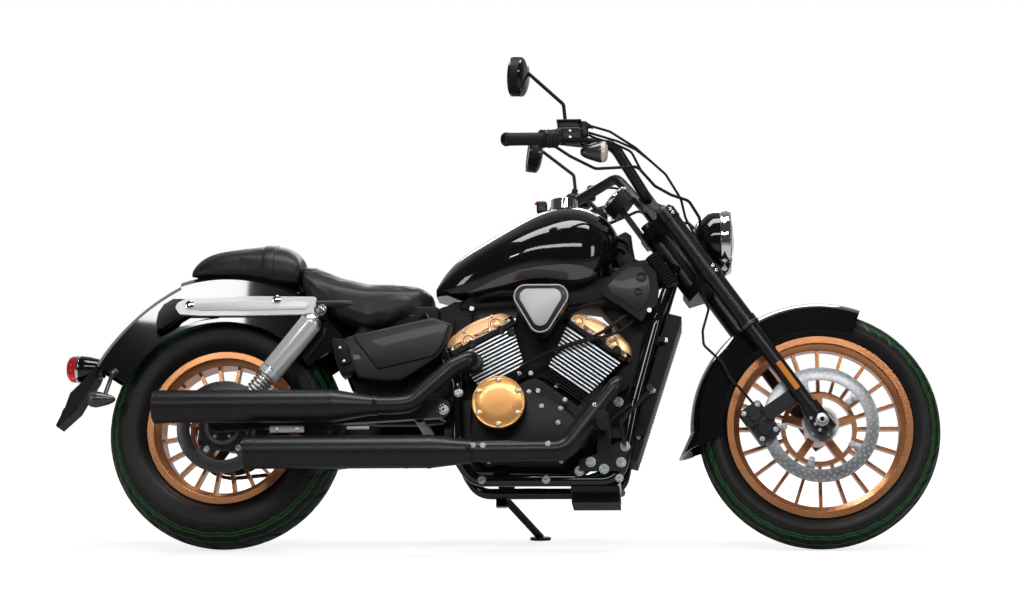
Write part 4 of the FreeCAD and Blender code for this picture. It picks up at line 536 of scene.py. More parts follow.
# %% Metals and metal paints
bronze = finish("bronze wheel paint", (0.66, 0.285, 0.12), 0.24, metal=0.74, coat=0.5,
                grit=0.03, grit_scale=900, tint=0.08, soft_edge=1.6, worn=(0.95, 0.58, 0.32))
gold_cover = finish("gold cover enamel", (1.0, 0.58, 0.29), 0.30, metal=0.42, coat=0.3,
                    grit=0.04, grit_scale=800, tint=0.06, worn=(1.0, 0.78, 0.56))
lid_gold = finish("gold lid enamel", (1.0, 0.50, 0.16), 0.26, metal=0.6, coat=0.5, grit=0.03,
                  tint=0.05, soft_edge=0.8)
chrome = finish("chrome plate", (0.86, 0.87, 0.88), 0.06, metal=1.0, spread=0.03,
                soft_edge=0.8)
steel = finish("ground steel", (0.56, 0.56, 0.56), 0.32, metal=1.0, spread=0.08, patch=30,
               soft_edge=0.6, tint=0.08)
dark_steel = finish("dark steel", (0.10, 0.10, 0.105), 0.38, metal=1.0, spread=0.08,
                    patch=24, soft_edge=0.8, tint=0.1)
disc_steel = finish("machined disc", (0.36, 0.37, 0.39), 0.34, metal=0.8, spread=0.10,
                    patch=16, soft_edge=0.6, tint=0.10)
zinc = finish("zinc plated bolt", (0.72, 0.78, 0.82), 0.26, metal=0.6, spread=0.1, patch=60,
              soft_edge=0.5, tint=0.12)
fin_bright = finish("machined fin rim", (0.90, 0.95, 1.0), 0.28, metal=0.3, spread=0.14,
                    patch=40, soft_edge=0.3, tint=0.2)
sleeve_silver = finish("silver shock sleeve", (0.70, 0.71, 0.73), 0.24, metal=0.45, coat=0.6,
                       spread=0.04, soft_edge=1.0)
strut_silver = finish("satin silver strut", (0.70, 0.67, 0.68), 0.42, metal=0.4, coat=0.2,
                      grit=0.02, soft_edge=2.0, tint=0.04)
plate_grey = finish("bead-blasted plate", (0.50, 0.48, 0.50), 0.42, metal=0.4, grit=0.04,
                    grit_scale=1200, soft_edge=0.8, tint=0.04)
print("finishes", len(bpy.data.materials))

# %% [markdown]
# ## Lenses
# Lamp lenses are tinted clear plastic.  They keep a plain transmission weight, and
# their moulded prisms are a fine wave in the bump.

# %% Lenses
def lens(name, color, rough=0.06, ribs=0.0, clear=1.0):
    material, tree, shader = principled(name, color, {
        "Roughness": rough, "Metallic": 0.0, "IOR": 1.46, "Transmission Weight": clear})
    if ribs:
        wave = add(tree, "TexWave", {"Scale": ribs, "Vector": object_point(tree)},
                   bands_direction="Z")
        bump = add(tree, "Bump", {"Distance": 0.0006, "Strength": 0.6,
                                  "Height": wave.outputs["Fac"]})
        feed(shader, {"Normal": bump.outputs["Normal"]})
    return material


red_lens = lens("red lamp lens", (0.55, 0.01, 0.015), ribs=60.0, clear=0.55)
clear_lens = lens("clear lamp lens", (0.95, 0.95, 0.95))
dark_lens = lens("smoked signal lens", (0.14, 0.09, 0.06), rough=0.12, ribs=70.0, clear=0.6)
pale_lens = lens("pale signal lens", (0.93, 0.84, 0.78), rough=0.12, ribs=70.0, clear=0.6)
amber_lens = lens("amber reflector", (0.85, 0.28, 0.02), rough=0.15, ribs=90.0, clear=0.3)
print("lenses ready")

# %% [markdown]
# ## Tyres
# A cruiser's tyres are wide and round, with slanted grooves that run from near the
# middle out over the shoulder.  The tyre is one surface of two parameters: the angle
# round the axle, and the way across the section from bead to bead.  A groove is a dip
# in the distance from the axle, where the angle is close to a slanted line, so the
# tread is real depth in the mesh and not a picture.

# %% Tyres with cut tread
def tyre_section(radius, width, crown, bead, seat, count):
    """Outer section from the right bead to the left one as (y, r) rows, spaced evenly:
    a crown arc, shoulders that turn into the side walls, and the bead's lip."""
    half = width / 2
    shoulder = half * 0.93
    drop = crown - math.sqrt(max(crown ** 2 - shoulder ** 2, 1.0))
    right = [(seat / 2 - 1, bead + 6), (seat / 2 + 3, bead + 16), (half * 0.96, bead + 36),
             (half, (bead + radius) / 2 + 3), (half * 0.995, radius - drop - 14),
             (shoulder, radius - drop + 1)]
    right += [(y, radius - crown + math.sqrt(crown ** 2 - y ** 2))
              for y in half * np.array([0.82, 0.62, 0.40, 0.18])]
    corners = np.array([(-y, r, 0) for y, r in right] + [(0, radius, 0)]
                       + [(y, r, 0) for y, r in right[::-1]])
    curve = smooth_path(corners, 8)[:, :2]
    return resampled(curve, np.linspace(0, walked(curve)[-1], count))


def tread_depth(turn, across, pitches):
    """Depth of the cut, in mm, at a share of a turn and a share of the half width.  Long
    grooves: a smooth notch where the turn, less a slant, is near a whole number of
    pitches, on alternate sides half a pitch apart.  Short ones lie between them."""
    reach = np.abs(across)
    phase = turn * pitches - 1.1 * reach ** 1.2 - np.where(across > 0, 0.5, 0.0)

    def notch(at, wide, low, high):
        near = np.abs(at - np.round(at))
        return np.exp(-(near / wide) ** 4) * (reach > low) * (reach < high)

    return 6.0 * notch(phase, 0.075, 0.10, 1.02) + 4.0 * notch(phase + 0.5, 0.06, 0.50, 0.98)


def tyre(wheel, axle, radius, width, crown, bead, seat, grooves, lines):
    """Rubber of one wheel: the outer section less the tread's depth and a fine groove
    where the side wall begins, and five points across the inside, all carried round."""
    outer = tyre_section(radius, width, crown, bead, seat, 84)
    angle = round_trip(1080)[:, None]
    wall = 0.36 * (radius - bead)
    depth = (tread_depth(angle / (2 * math.pi), outer[:, 0] / (width / 2), grooves)
             * (outer[:, 1] > radius - wall)
             + 0.8 * np.exp(-((outer[:, 1] - bead - wall) / 2.0) ** 2))
    reach = np.hstack([outer[:, 1] - depth, np.full((len(angle), 5), bead + 3.0)])
    across = np.append(outer[:, 0], np.linspace(outer[-1, 0], outer[0, 0], 5))
    whole = np.stack([axle[0] + reach * np.sin(angle), np.broadcast_to(across, reach.shape),
                      axle[2] + reach * np.cos(angle)], -1)
    piece(wheel + "_tyre_rubber", [skin(whole, close_stack=True)],
          tyre_material(wheel + " tyre rubber", axle, radius, bead, grooves, lines),
          wheel + "_tyre", wheel + "_wheel", stands_in=True, sharp=50)


print("deepest groove", tread_depth(np.linspace(0, 1, 2000), 0.4, 26).max().round(1), "mm")

# %% [markdown]
# Tyre rubber is nearly black on the tread, and a paler band part-way up the side wall is
# painted sheen, a painted highlight for the light the curved wall catches.  The colour
# follows the distance from the axle: three thin green lines lie just inside the shoulder,
# as new tyres carry from the factory.

# %% Rubber for the tyres
GREEN = (0.012, 0.125, 0.020, 1)
# brightness of the rubber from bead to tread; the paler band near 0.4 is painted sheen, a
# painted highlight
WALL_SHEEN_LEVELS = ((0.0, 0.003), (0.22, 0.004), (0.40, 0.016), (0.58, 0.010), (0.70, 0.004),
               (1.0, 0.004))


def tyre_material(name, axle, radius, bead, teeth, lines):
    """lines: rows of (radius, half width, swing); each is a line round the tyre whose
    radius zigzags by swing with that many teeth."""
    material = finish(name, (0.012, 0.012, 0.013), 0.50, spread=0.12, patch=11, grit=0.05,
                      grit_scale=1500, soft_edge=0, specular=0.30)
    tree = material.node_tree
    vector = partial(add, tree, "VectorMath")
    off = vector({0: object_point(tree), 1: machine(axle)}, operation="SUBTRACT").outputs[0]
    square = vector({0: off, 1: machine.way(SIDE)}, operation="CROSS_PRODUCT").outputs[0]
    reach = vector({0: square}, operation="LENGTH").outputs["Value"]
    ahead, above = (vector({0: off, 1: machine.way(way)},
                           operation="DOT_PRODUCT").outputs["Value"] for way in (AHEAD, TOP))
    turn = calc(tree, "DIVIDE", calc(tree, "ARCTAN2", ahead, above), 2 * math.pi)
    share = add(tree, "MapRange", {"From Min": bead / 1000, "From Max": radius / 1000,
                                   "Value": reach})
    # painted highlight: the ramp makes the side wall paler in a band part-way up
    side = add(tree, "ValToRGB", {0: share.outputs[0]})
    ramp = side.color_ramp.elements
    while len(ramp) < len(WALL_SHEEN_LEVELS):
        ramp.new(0.5)
    for element, (at, level) in zip(ramp, WALL_SHEEN_LEVELS):
        element.position = at
        element.color = (level, level, level * 1.08, 1)
    cloud = placed(tree, patchy, Value=0.85, Spread=0.55, Scale=7.0)
    colour = vector({0: side.outputs[0], "Scale": cloud}, operation="SCALE").outputs[0]
    for at, width, swing in lines:
        zigzag = calc(tree, "PINGPONG", calc(tree, "MULTIPLY", turn, 2 * teeth), 1.0)
        zigzag = calc(tree, "MULTIPLY", zigzag, swing / 1000)
        gap = calc(tree, "SUBTRACT", calc(tree, "SUBTRACT", reach, zigzag), at / 1000)
        on_line = calc(tree, "LESS_THAN", calc(tree, "ABSOLUTE", gap), width / 1000)
        colour = add(tree, "Mix", {0: on_line, 6: colour, 7: GREEN},
                     data_type="RGBA").outputs[2]
    feed(tree.nodes["Principled BSDF"], {"Base Color": colour})
    return material


tyre("front", FRONT_AXLE, radius=332, width=130, crown=66, bead=241.3, seat=84, grooves=26,
     lines=((305, 1.5, 2.0), (311, 1.3, 2.0), (324, 1.0, 1.5)))
tyre("rear", REAR_AXLE, radius=333, width=180, crown=95, bead=203.2, seat=120, grooves=24,
     lines=((297, 1.3, 2.5), (304, 1.5, 2.5), (319, 1.0, 2.0)))

# %% [markdown]
# ## Discs, bolts and speed rings
# The rims are castings, and the sized model has their true spokes, so they keep their
# mesh and get bronze paint.  What stands on them is added: the drilled faces of the
# brake discs, their bolts, and the toothed speed rings.  A hole in a thin disc is a
# recess at this size, so each hole is a short cup let into the face.

# %% Round parts of a wheel
def spot(centre, radius, degrees, y=0.0):
    """Point at an angle round an axle: 0 points ahead and 90 points up."""
    a = math.radians(degrees)
    return np.asarray(centre) + np.array([radius * math.cos(a), y, radius * math.sin(a)])


def hex_bolt(at, way, radius=6.0, height=5.0, washer=1.4):
    """Bolt: a washer, a six-sided head with a chamfered top and a hex socket."""
    round_part = turned([(-0.3, 0.4 * radius), (0.0, 1.35 * radius), (washer, 1.30 * radius),
                         (washer, 0.5 * radius)], at, way, 18)
    rows = [(washer * 0.5, 1), (height * 0.82, 1), (height, 0.86), (height, 0.5),
            (height * 0.45, 0.5)]
    return joined(round_part, turned([(a, radius * r) for a, r in rows], at, way, 6))


def cap_screw(at, way, radius=6.0, height=6.0):
    """Round-headed socket screw: a turned head with a softened rim and a socket."""
    rows = [(0, radius), (height * 0.7, radius), (height * 0.93, radius * 0.93),
            (height, radius * 0.78), (height, radius * 0.45), (height * 0.4, radius * 0.45)]
    return turned(rows, at, way, 20)


def disc_face(centre, y, out, inner, outer, dips):
    """Braking face: a flat ring 0.6 proud of the disc whose outer rim waves dips times."""
    angle = round_trip(360)
    wave = 1.1 * np.cos(dips * angle) - 1.1
    rings = [at_level(polar(centre, radius + wave * (radius > outer - 4), angle),
                      y + out * rise)
             for radius, rise in ((inner, 0.0), (inner + 0.8, 0.6), (outer - 1.8, 0.6),
                                  (outer - 0.8, 0))]
    back = np.array([rings[0], rings[3]][::-1])
    back[:, :, 1] = y - out * 0.3
    return skin(np.concatenate([rings, back]), close_stack=True)


def toothed_ring(centre, y_low, y_high, root, tip, inner, count):
    """Speed ring: the outer edge steps between root and tip, count times."""
    angle = round_trip(count * 4)
    step = np.where(np.arange(count * 4) % 4 < 2, tip, root)
    return skin([at_level(polar(centre, reach, angle), y) for y, reach in
                 ((y_low, inner), (y_low, step), (y_high, step), (y_high, inner))],
                close_stack=True)


print("a bolt has", len(hex_bolt((0, 0, 0), SIDE)[1]), "faces")

# %% Both wheels' right faces
DISC_FACE_Y, BAND, PROUD = -76.5, 36.0, 0.6
FRONT_BOLTS = (39, 111, 183, 255, 327)
# wheel, axle, disc radius, rows of holes (radius, count, first), finish seen in them,
# angles of the bolts, bolt circle, finish of the face
WHEELS = (
    ("front", FRONT_AXLE, 160, ((154, 45, 0), (145, 45, 4), (136, 45, 0), (129, 20, 9)),
     hole_light, FRONT_BOLTS, 100, disc_steel),
    ("rear", REAR_AXLE, 130, ((124, 36, 0), (115, 36, 5), (106, 36, 0)),
     hole_dark, (20, 92, 164, 236, 308), 76, dark_steel),
)
for wheel, axle, outer, rows, hole, bolt_angles, bolt_circle, material in WHEELS:
    on_disc = dict(slot=wheel + "_brake_disc", body=wheel + "_wheel")
    piece(wheel + "_disc_face", [disc_face(axle, DISC_FACE_Y, -1, outer - BAND, outer, 10)],
          material, **on_disc)
    piece(wheel + "_disc_holes",
          [turned([(-0.2, 3.15), (0.12, 3.0), (-0.05, 2.1)],
                  spot(axle, radius, first + k * 360.0 / count, DISC_FACE_Y - PROUD), -SIDE,
                  12) for radius, count, first in rows for k in range(count)],
          hole, **on_disc)
    piece(wheel + "_disc_bolts", [hex_bolt(spot(axle, bolt_circle, a, DISC_FACE_Y), -SIDE,
                                           6.5) for a in bolt_angles], zinc, **on_disc)
    piece(wheel + "_speed_ring", [toothed_ring(axle, DISC_FACE_Y - 2.2, DISC_FACE_Y, 47.5,
                                               52.0, 41.0, 48)], steel, sharp=25, **on_disc)
    piece(wheel + "_hub_screws", [cap_screw(spot(axle, 34.0, a, DISC_FACE_Y), -SIDE, 4.2, 4)
                                  for a in range(18, 378, 72)], zinc, **on_disc)

# %% [markdown]
# The front disc is carried by five short arms bolted to the wheel's inner ring, so the
# bronze hub shows inside it.  It replaces the sized disc, whose web is solid.

# %% Front disc carrier
turn = round_trip(240)
levels = ((124.6, -71.5), (159.4, -71.5), (159.4, -76.4), (124.6, -76.4))
shapes = [skin([at_level(polar(FRONT_AXLE, r, turn), y) for r, y in levels],
               close_stack=True),
          turned([(-68, 22), (-68, 46), (-74.3, 46), (-74.3, 22)], FRONT_AXLE, SIDE,
                 whole=True)]
ARM_LINE = ((91, -4.5), (96, -9), (108, -8.5), (127, -15), (127, 15), (108, 8.5), (96, 9),
            (91, 4.5))
for degrees in FRONT_BOLTS:
    flat = [spot(FRONT_AXLE, r, degrees + math.degrees(off / r))[[0, 2]]
            for r, off in ARM_LINE]
    shapes.append(slab(softened(flat, 3), -71.8, -76.2, 0.8))
piece("front_disc_carrier", shapes, disc_steel, "front_brake_disc", "front_wheel",
      stands_in=True, sharp=40)

# %% [markdown]
# ## Sprocket and chain
# The sized model's sprocket is a plain disc and its chain a smooth band.  Teeth and
# links come from short loops over an angle or along the chain's closed line: two flat
# plates and a roller for each half link.

# %% Sprocket teeth and chain links
SPROCKET_R, DRIVE_R, CHAIN_Y = 108.0, 42.0, 102.5
DRIVE_AT = (640.0, 330.0)
PITCH_UP = 7.8
LINK = 15.875


def chain_line(step):
    """Closed line round both sprockets, half a chain's depth above their rims: two arcs
    joined by their outer tangents, sampled about every step mm."""
    near, far = REAR_AXLE[[0, 2]], np.array(DRIVE_AT)
    big, small = SPROCKET_R + PITCH_UP, DRIVE_R + PITCH_UP
    run = far - near
    lean = math.atan2(run[1], run[0])
    tip = math.acos((big - small) / np.linalg.norm(run))
    rear = polar(near, big, np.linspace(lean + tip, lean + 2 * math.pi - tip, 160))
    front = polar(far, small, np.linspace(lean - tip, lean + tip, 70))
    line = np.vstack([rear, front, rear[:1]])
    whole = walked(line)[-1]
    return resampled(line, np.linspace(0, whole, int(round(whole / step / 2) * 2),
                                       endpoint=False))


def link(start, end, y):
    """One side plate of a link: two round ends joined by a waist, 1.8 thick."""
    half = 5.6
    run = end - start
    long = np.linalg.norm(run) / 2
    ahead = run / (2 * long)
    c, s = np.cos(round_trip(12)), np.sin(round_trip(12))
    waist = np.abs(c) < 0.2
    u = long * np.sign(c) * (np.abs(c) > 0.2) + half * c
    v = half * s * (1 - 0.22 * waist)
    flat = (start + end) / 2 + u[:, None] * ahead + v[:, None] * (-ahead[1], ahead[0])
    return skin([at_level(flat, y - 0.9), at_level(flat, y + 0.9)])


centres = chain_line(LINK)
links = []
for k, (a, b) in enumerate(zip(centres, np.roll(centres, -1, 0))):
    spread = 6.2 if k % 2 else 4.1
    links += [link(a, b, CHAIN_Y + side * spread) for side in (-1, 1)]
    links.append(turned([(-4.0, 4.6), (4.0, 4.6)], (a[0], CHAIN_Y, a[1]), SIDE, 8))
piece("chain_links", links, dark_steel, "drive_chain", stands_in=True)
piece("sprocket_teeth", [toothed_ring(REAR_AXLE, CHAIN_Y - 2.6, CHAIN_Y + 2.6,
                                      SPROCKET_R - 6, SPROCKET_R, SPROCKET_R - 20, 44)],
      steel, "rear_sprocket", "rear_wheel", sharp=25)

# %% [markdown]
# ## Headlight and gauge
# The headlight is a painted bucket with a plated ring, a bright reflector and a domed
# lens: turned parts, profiles of distances along the lamp's axis and radii.  The gauge
# faces the rider, and its ring of marks is one mark turned round.

# %% Headlight
LAMP_AT = (1395.0, 0.0, 871.0)
bucket = turned([(-78, 1), (-80, 36), (-76, 50), (-60, 70), (-42, 84), (-26, 87.5), (-2, 87.5),
                 (-2, 84), (-26, 83.5), (-44, 78), (-60, 62), (-72, 30), (-72, 1)],
                LAMP_AT, AHEAD, 96)
points, faces = block((62.2, -15, 506), (106, 15, 550), 6)
stay = measure(fork(points)), faces
turning_piece("headlight_bucket", [bucket, stay], gloss_black, "headlight", stands_in=True,
              sharp=40)
# name, profile, steps, finish, sharp angle
LAMP_PARTS = (
    ("ring", ((-7, 86.5), (-8, 90), (-5, 92.2), (2, 91.2), (5, 92.4), (14, 92.4), (21, 89.5),
              (23, 85), (20, 81.5), (8, 80.5), (2, 83)), 128, chrome, 35),
    ("reflector", ((-62, 1), (-60, 24), (-48, 54), (-24, 77), (2, 80), (2, 78), (-22, 74.5),
                   (-45, 52), (-56, 23), (-58, 1)), 96, chrome, 35),
    ("lens", ((9, 1), (9, 78), (14, 80.6), (19, 79), (24, 66), (29, 40), (31, 18), (31.5, 1)),
     96, clear_lens, 60),
    ("bulb", ((-58, 1), (-58, 11), (-44, 12), (-40, 9), (-26, 9), (-20, 6), (-18, 1)), 32,
     plate_grey, 40))
for name, profile, steps, material, sharp in LAMP_PARTS:
    turning_piece("headlight_" + name, [turned(profile, LAMP_AT, AHEAD, steps,
                                               whole=name == "ring")],
                  material, "headlight", sharp=sharp)

# %% Gauge ring, face and marks
POD_AT = np.array([1121.0, 0.0, 972.0])
POD_WAY, pod_a, pod_b = basis((-0.727, 0.0, 0.687))
bezel = turned([(36, 44.2), (38, 45.4), (44, 45.2), (47.5, 42.5), (47, 39.6), (45, 39.8)],
               POD_AT, POD_WAY, 72, whole=True)
turning_piece("gauge_ring", [bezel], chrome, "instrument_gauge")
face = turned([(45.6, 1), (45.6, 40), (46.3, 39.6), (46.4, 20), (46.4, 1)], POD_AT, POD_WAY, 48)
turning_piece("gauge_face", [face], dial_dark, "instrument_gauge")


def stroke(angle, lift, reaches, radius):
    """Thin bar on the dial, radially at an angle, over these distances from its middle."""
    out = math.cos(angle) * pod_a + math.sin(angle) * pod_b
    return pipe([POD_AT + POD_WAY * lift + out * reach for reach in reaches], radius, 6)


marks = []
for index in range(25):
    inner = 34.0 if index % 3 else 31.0
    marks.append(stroke(math.radians(-30 + index * 10), 46.5,
                        (inner, (inner + 37.5) / 2, 37.5), 0.55))
marks.append(stroke(0.5, 46.8, (0, 15, 29), 0.7))
marks.append(turned([(0, 1), (0, 4), (1.4, 3.4), (1.6, 1)], POD_AT + POD_WAY * 46.8, POD_WAY,
                    20))
turning_piece("gauge_marks", marks, plate_grey, "instrument_gauge")

# %% [markdown]
# ## Grips, mirrors and signals
# A grip is a turned sleeve whose radius ripples along it.  The mirrors get a domed back
# and a bright glass, and each turn signal is a bullet with a domed lens.

# %% Grips
BAR_INNER, BAR_OUTER = np.array([930.0, 336.0, 1075.0]), np.array([808.0, 430.0, 1044.0])
bar_way = basis(BAR_OUTER - BAR_INNER)[0]
grip_from = BAR_OUTER - bar_way * 119.0


def rippled(along, radius, swing, fold):
    """Rows (along, radius) whose radius swings between flattened folds."""
    return np.column_stack([along, radius + swing * np.clip(
        2 * np.cos(2 * math.pi * along / fold), -1, 1)])


sleeve = rippled(np.linspace(0, 118, 238), 17.1, 0.55, 5.9)
sleeve[sleeve[:, 0] < 5, 1] = 19.5
sleeve[sleeve[:, 0] > 111, 1] = 18.8
grip = turned([(0, 11.5), *sleeve, (118.5, 15), (118.5, 1)], grip_from, bar_way, 32)
turning_piece("grips", both(grip), rubber, "hand_controls_right", sharp=60)
clamps = [turned([(0, 20), (0, 25.4), (wide, 25.4), (wide, 20)], grip_from + bar_way * along,
                 bar_way, 40, whole=True) for along, wide in ((-46, 7), (-30, 5), (-8, 6))]
turning_piece("control_clamps", both(*clamps), satin_black, "hand_controls_right")
switch = turned([(0, 1), (0, 4.5), (3.5, 4.2), (4, 1)], grip_from + (-4, -18, 12),
                (-0.5, -0.6, 0.62), 20)
turning_piece("stop_switch", both(switch), red_button, "hand_controls_right")

# %% Perches, reservoir and switches
perch = [block((936, 290, 1068), (1012, 334, 1112), 9),
         block((1000, 284, 1088), (1026, 314, 1134), 6),
         block((930, 318, 1062), (958, 352, 1100), 7),
         turned([(0, 8), (14, 7.2), (18, 5.0), (26, 4.4), (26, 1)], (1016, 299, 1126),
                (0.86, -0.45, -0.16), 20)]
reservoir = [block((942, -332, 1104), (1006, -292, 1128), 7),
             block((940, -334, 1126), (1008, -290, 1132), 2.6)]
turning_piece("bar_perches", both(*perch) + reservoir, dark_cast, "hand_controls_right")
screws = [cap_screw((x, y, 1131), TOP, 3.4, 2.4) for x, y in ((948, -327), (1000, -297))]
screws += [cap_screw((978, side * 334, z), SIDE * side, 3.6, 3.0) for z in (1080, 1098)
           for side in (-1, 1)]
turning_piece("perch_screws", screws, zinc, "hand_controls_right")
turning_piece("switch_pod", [block((846, 330, 1062), (878, 358, 1100), 6)], satin_black,
              "hand_controls_left")
hazard = turned([(0, 1), (0, 7), (6, 7), (8, 5.5), (8, 1)], (849, 344, 1094),
                (-0.7, -0.3, 0.6), 24)
turning_piece("hazard_switch", [hazard], red_button, "hand_controls_left")

# %% Mirrors
at_mirror = dict(centre=(834.0, 347.0, 1251.0), way=(-1.0, -0.16, 0.1))
glass = turned([(13.8, 1), (13.8, 50), (14.8, 50.4), (15, 48), (15, 1)], **at_mirror)
shell_back = turned([(-12, 1), (-29, 1), (-28.5, 18), (-26, 34), (-22, 46), (-17, 53),
                     (-13, 54.4), (-12, 53)], **at_mirror)
rim_ring = turned([(10, 53), (11, 54.6), (15, 54.4), (16.5, 52.5), (15.5, 50.2)],
                  whole=True, **at_mirror)
turning_piece("mirror_glass", both(glass), chrome, "mirrors")
turning_piece("mirror_shells", both(shell_back, rim_ring), gloss_black, "mirrors")

# %% Front turn signals
SIGNAL_AT = (1044.0, 300.0, 1047.0)
bullet = turned([(-40, 1), (-39.5, 7), (-34, 12), (-20, 19), (0, 25.5), (10, 28.6), (17, 29.6),
                 (18, 27), (18, 1)], SIGNAL_AT, AHEAD, 48)
dome = turned([(17, 1), (17, 28.6), (25, 28.6), (31, 25), (35, 16), (36, 1)], SIGNAL_AT, AHEAD,
              48)
arm = pipe([SIGNAL_AT, (1018, 282, 1068), (991.6, 265.3, 1089.4)], 7, 20)
turning_piece("front_signal_bodies", both(bullet, arm), signal_grey, "front_turn_signals",
              stands_in=True, sharp=45)
turning_piece("front_signal_lenses", both(dome), pale_lens, "front_turn_signals", sharp=60)

# %% [markdown]
# ## Fork details
# These are measured in the fork's own frame: caps and bolts on the clamps, dust seals,
# pinch bolts at the axle, a long amber reflector and the covers of the caliper's pistons.

# %% Fork caps, bolts, reflectors and caliper
CAP = ((-1, 25.6), (3, 26), (7, 24), (9, 18), (9, 11), (15, 10.5), (17, 8), (17, 1))
SEAL = ((0, 29.4), (3, 30.2), (8, 30.2), (12, 27), (12, 21))
caps, bolts, ambers, bases = [], [], [], []
for side in (-1, 1):
    caps += [turned(CAP, (48, side * 112, 732), TOP, 40),
             turned(SEAL, (48, side * 112, 326), TOP, 48)]
    bolts += [cap_screw((60, side * 139, z), (0.25, side, 0), 5.0) for z in (505, 521, 710, 722)]
    bolts += [cap_screw((30, side * 131, z), (-0.6, side * 0.8, 0), 4.5) for z in (-18, 2, 22)]
    bases.append(block((37, side * 130, 104), (57, side * 134.5, 202), 2.5))
    ambers.append(block((39, side * 134, 107), (55, side * 138.5, 199), 2.2))
fork_piece("fork_caps", caps, dark_steel, "triple_clamps")
fork_piece("fork_bolts", bolts, zinc, "fork_leg_right")
fork_piece("reflector_bases", bases, matte_black, "fork_leg_right")
fork_piece("amber_reflectors", ambers, amber_lens, "fork_leg_right")
covers = [turned([(0, 19), (3, 19), (5, 17), (5, 8), (4, 7), (4, 1)], (-86, -98, z), -SIDE, 36)
          for z in (74, 122)]
covers.append(block((-116, -98, 92), (-54, -101, 103), 1.2))
fork_piece("caliper_covers", covers, satin_black, "front_brake_caliper")
fork_piece("caliper_bolts", [hex_bolt((x, -98, z), -SIDE, 5.5, 6) for x, z in
                             ((-108, 56), (-62, 56), (-108, 141), (-62, 141))],
           zinc, "front_brake_caliper")
nut = turned([(0, 16), (0, 18), (3, 18), (5, 15.5), (9, 15.5), (10, 13), (10, 7), (2, 7)],
             FRONT_AXLE + (0, -143, 0), -SIDE, 40, whole=True)
turning_piece("front_axle_nut", [nut], steel, "front_axle")

# %% [markdown]
# The bellows behind the fork covers the steering head's harness: a rubber sleeve whose
# radius swings between folds.

# %% Bellows
HARNESS_TOP = np.array([1196.0, -62.0, 816.0])
harness_run = np.array([1252.0, -66.0, 726.0]) - HARNESS_TOP
long = np.linalg.norm(harness_run)
share = np.linspace(0, 1, 97)
folds = np.column_stack([share * long, 19.0 + 3.2 * np.cos(share * 2 * math.pi * 12)])
bellows = turned([(0, 1), *folds, (long, 1)], HARNESS_TOP, harness_run, 28)
piece("bellows", [bellows], rubber, "backbone", sharp=60)

# %% [markdown]
# ## Seats
# A motorcycle seat is foam under stretched vinyl: full and rounded, tight over its
# middle, and pulled in at its lower edge.  The rider's cushion starts from a loft, the
# passenger's from the sized seat.  Either is remeshed into even cells and then swelled by
# a cloth simulation with pressure inside and no gravity; how far each point may move is
# capped, so that the cushion stays in its place on the fender and the rails.

# %% What a cushion starts from
def seat_body(name, rows):
    """Loft along the machine through rows of (x, half width, top, shoulder, belly, floor,
    floor half width), with six sections from one row to the next."""
    rows = np.array(rows, float)
    stations = np.linspace(0, len(rows) - 1, 6 * (len(rows) - 1) + 1)
    rings = []
    for x, wide, top, shoulder, belly, floor, low_wide in zip(
            *(np.interp(stations, np.arange(len(rows)), column) for column in rows.T)):
        side = [(0.35 * wide, top - 0.06 * (top - shoulder)),
                (0.7 * wide, 0.7 * top + 0.3 * shoulder), (0.93 * wide, shoulder),
                (wide, 0.45 * shoulder + 0.55 * belly),
                (0.5 * (wide + low_wide), belly - 0.6 * (belly - floor)), (low_wide, floor)]
        ring = [(0.0, top), *side, (0.0, floor), *((-y, z) for y, z in side[::-1])]
        rings.append([(x, y, z) for y, z in ring])
    points, faces = skin(rings)
    mesh = bpy.data.meshes.new(name)
    mesh.from_pydata(machine(points), [], faces)
    return linked(name, mesh)


def welded_copy(node, name):
    """The sized mesh as a new object: doubled points merged, faces turned outward."""
    mesh = frame["nodes"][node].data.copy()
    mesh.name = name
    return linked(name, cleaned(mesh, 1e-5))


# %% Swell a cushion
def points_of(mesh):
    values = np.empty(len(mesh.vertices) * 3, np.float32)
    mesh.vertices.foreach_get("co", values)
    return values.reshape(-1, 3).astype(float)


def settle(thing):
    """Replace the object's mesh by what its modifiers make, and drop them."""
    result = bpy.data.meshes.new_from_object(
        thing.evaluated_get(bpy.context.evaluated_depsgraph_get()))
    thing.modifiers.clear()
    thing.data = result
    return result


def smooth_surface(mesh, rounds):
    """Move every point half-way to the mean of its neighbours, rounds times."""
    points = points_of(mesh)
    edges = np.empty(len(mesh.edges) * 2, np.int32)
    mesh.edges.foreach_get("vertices", edges)
    a, b = edges.reshape(-1, 2).T
    degree = np.bincount(np.concatenate([a, b]), minlength=len(points))[:, None]
    for _ in range(rounds):
        total = np.zeros_like(points)
        np.add.at(total, a, points[b])
        np.add.at(total, b, points[a])
        points = (points + total / np.maximum(degree, 1)) / 2
    mesh.vertices.foreach_set("co", points.astype(np.float32).ravel())
    mesh.update()


PRESSURE, VOXEL, FRAMES, CAP = 4.0, 0.006, 20, 0.006


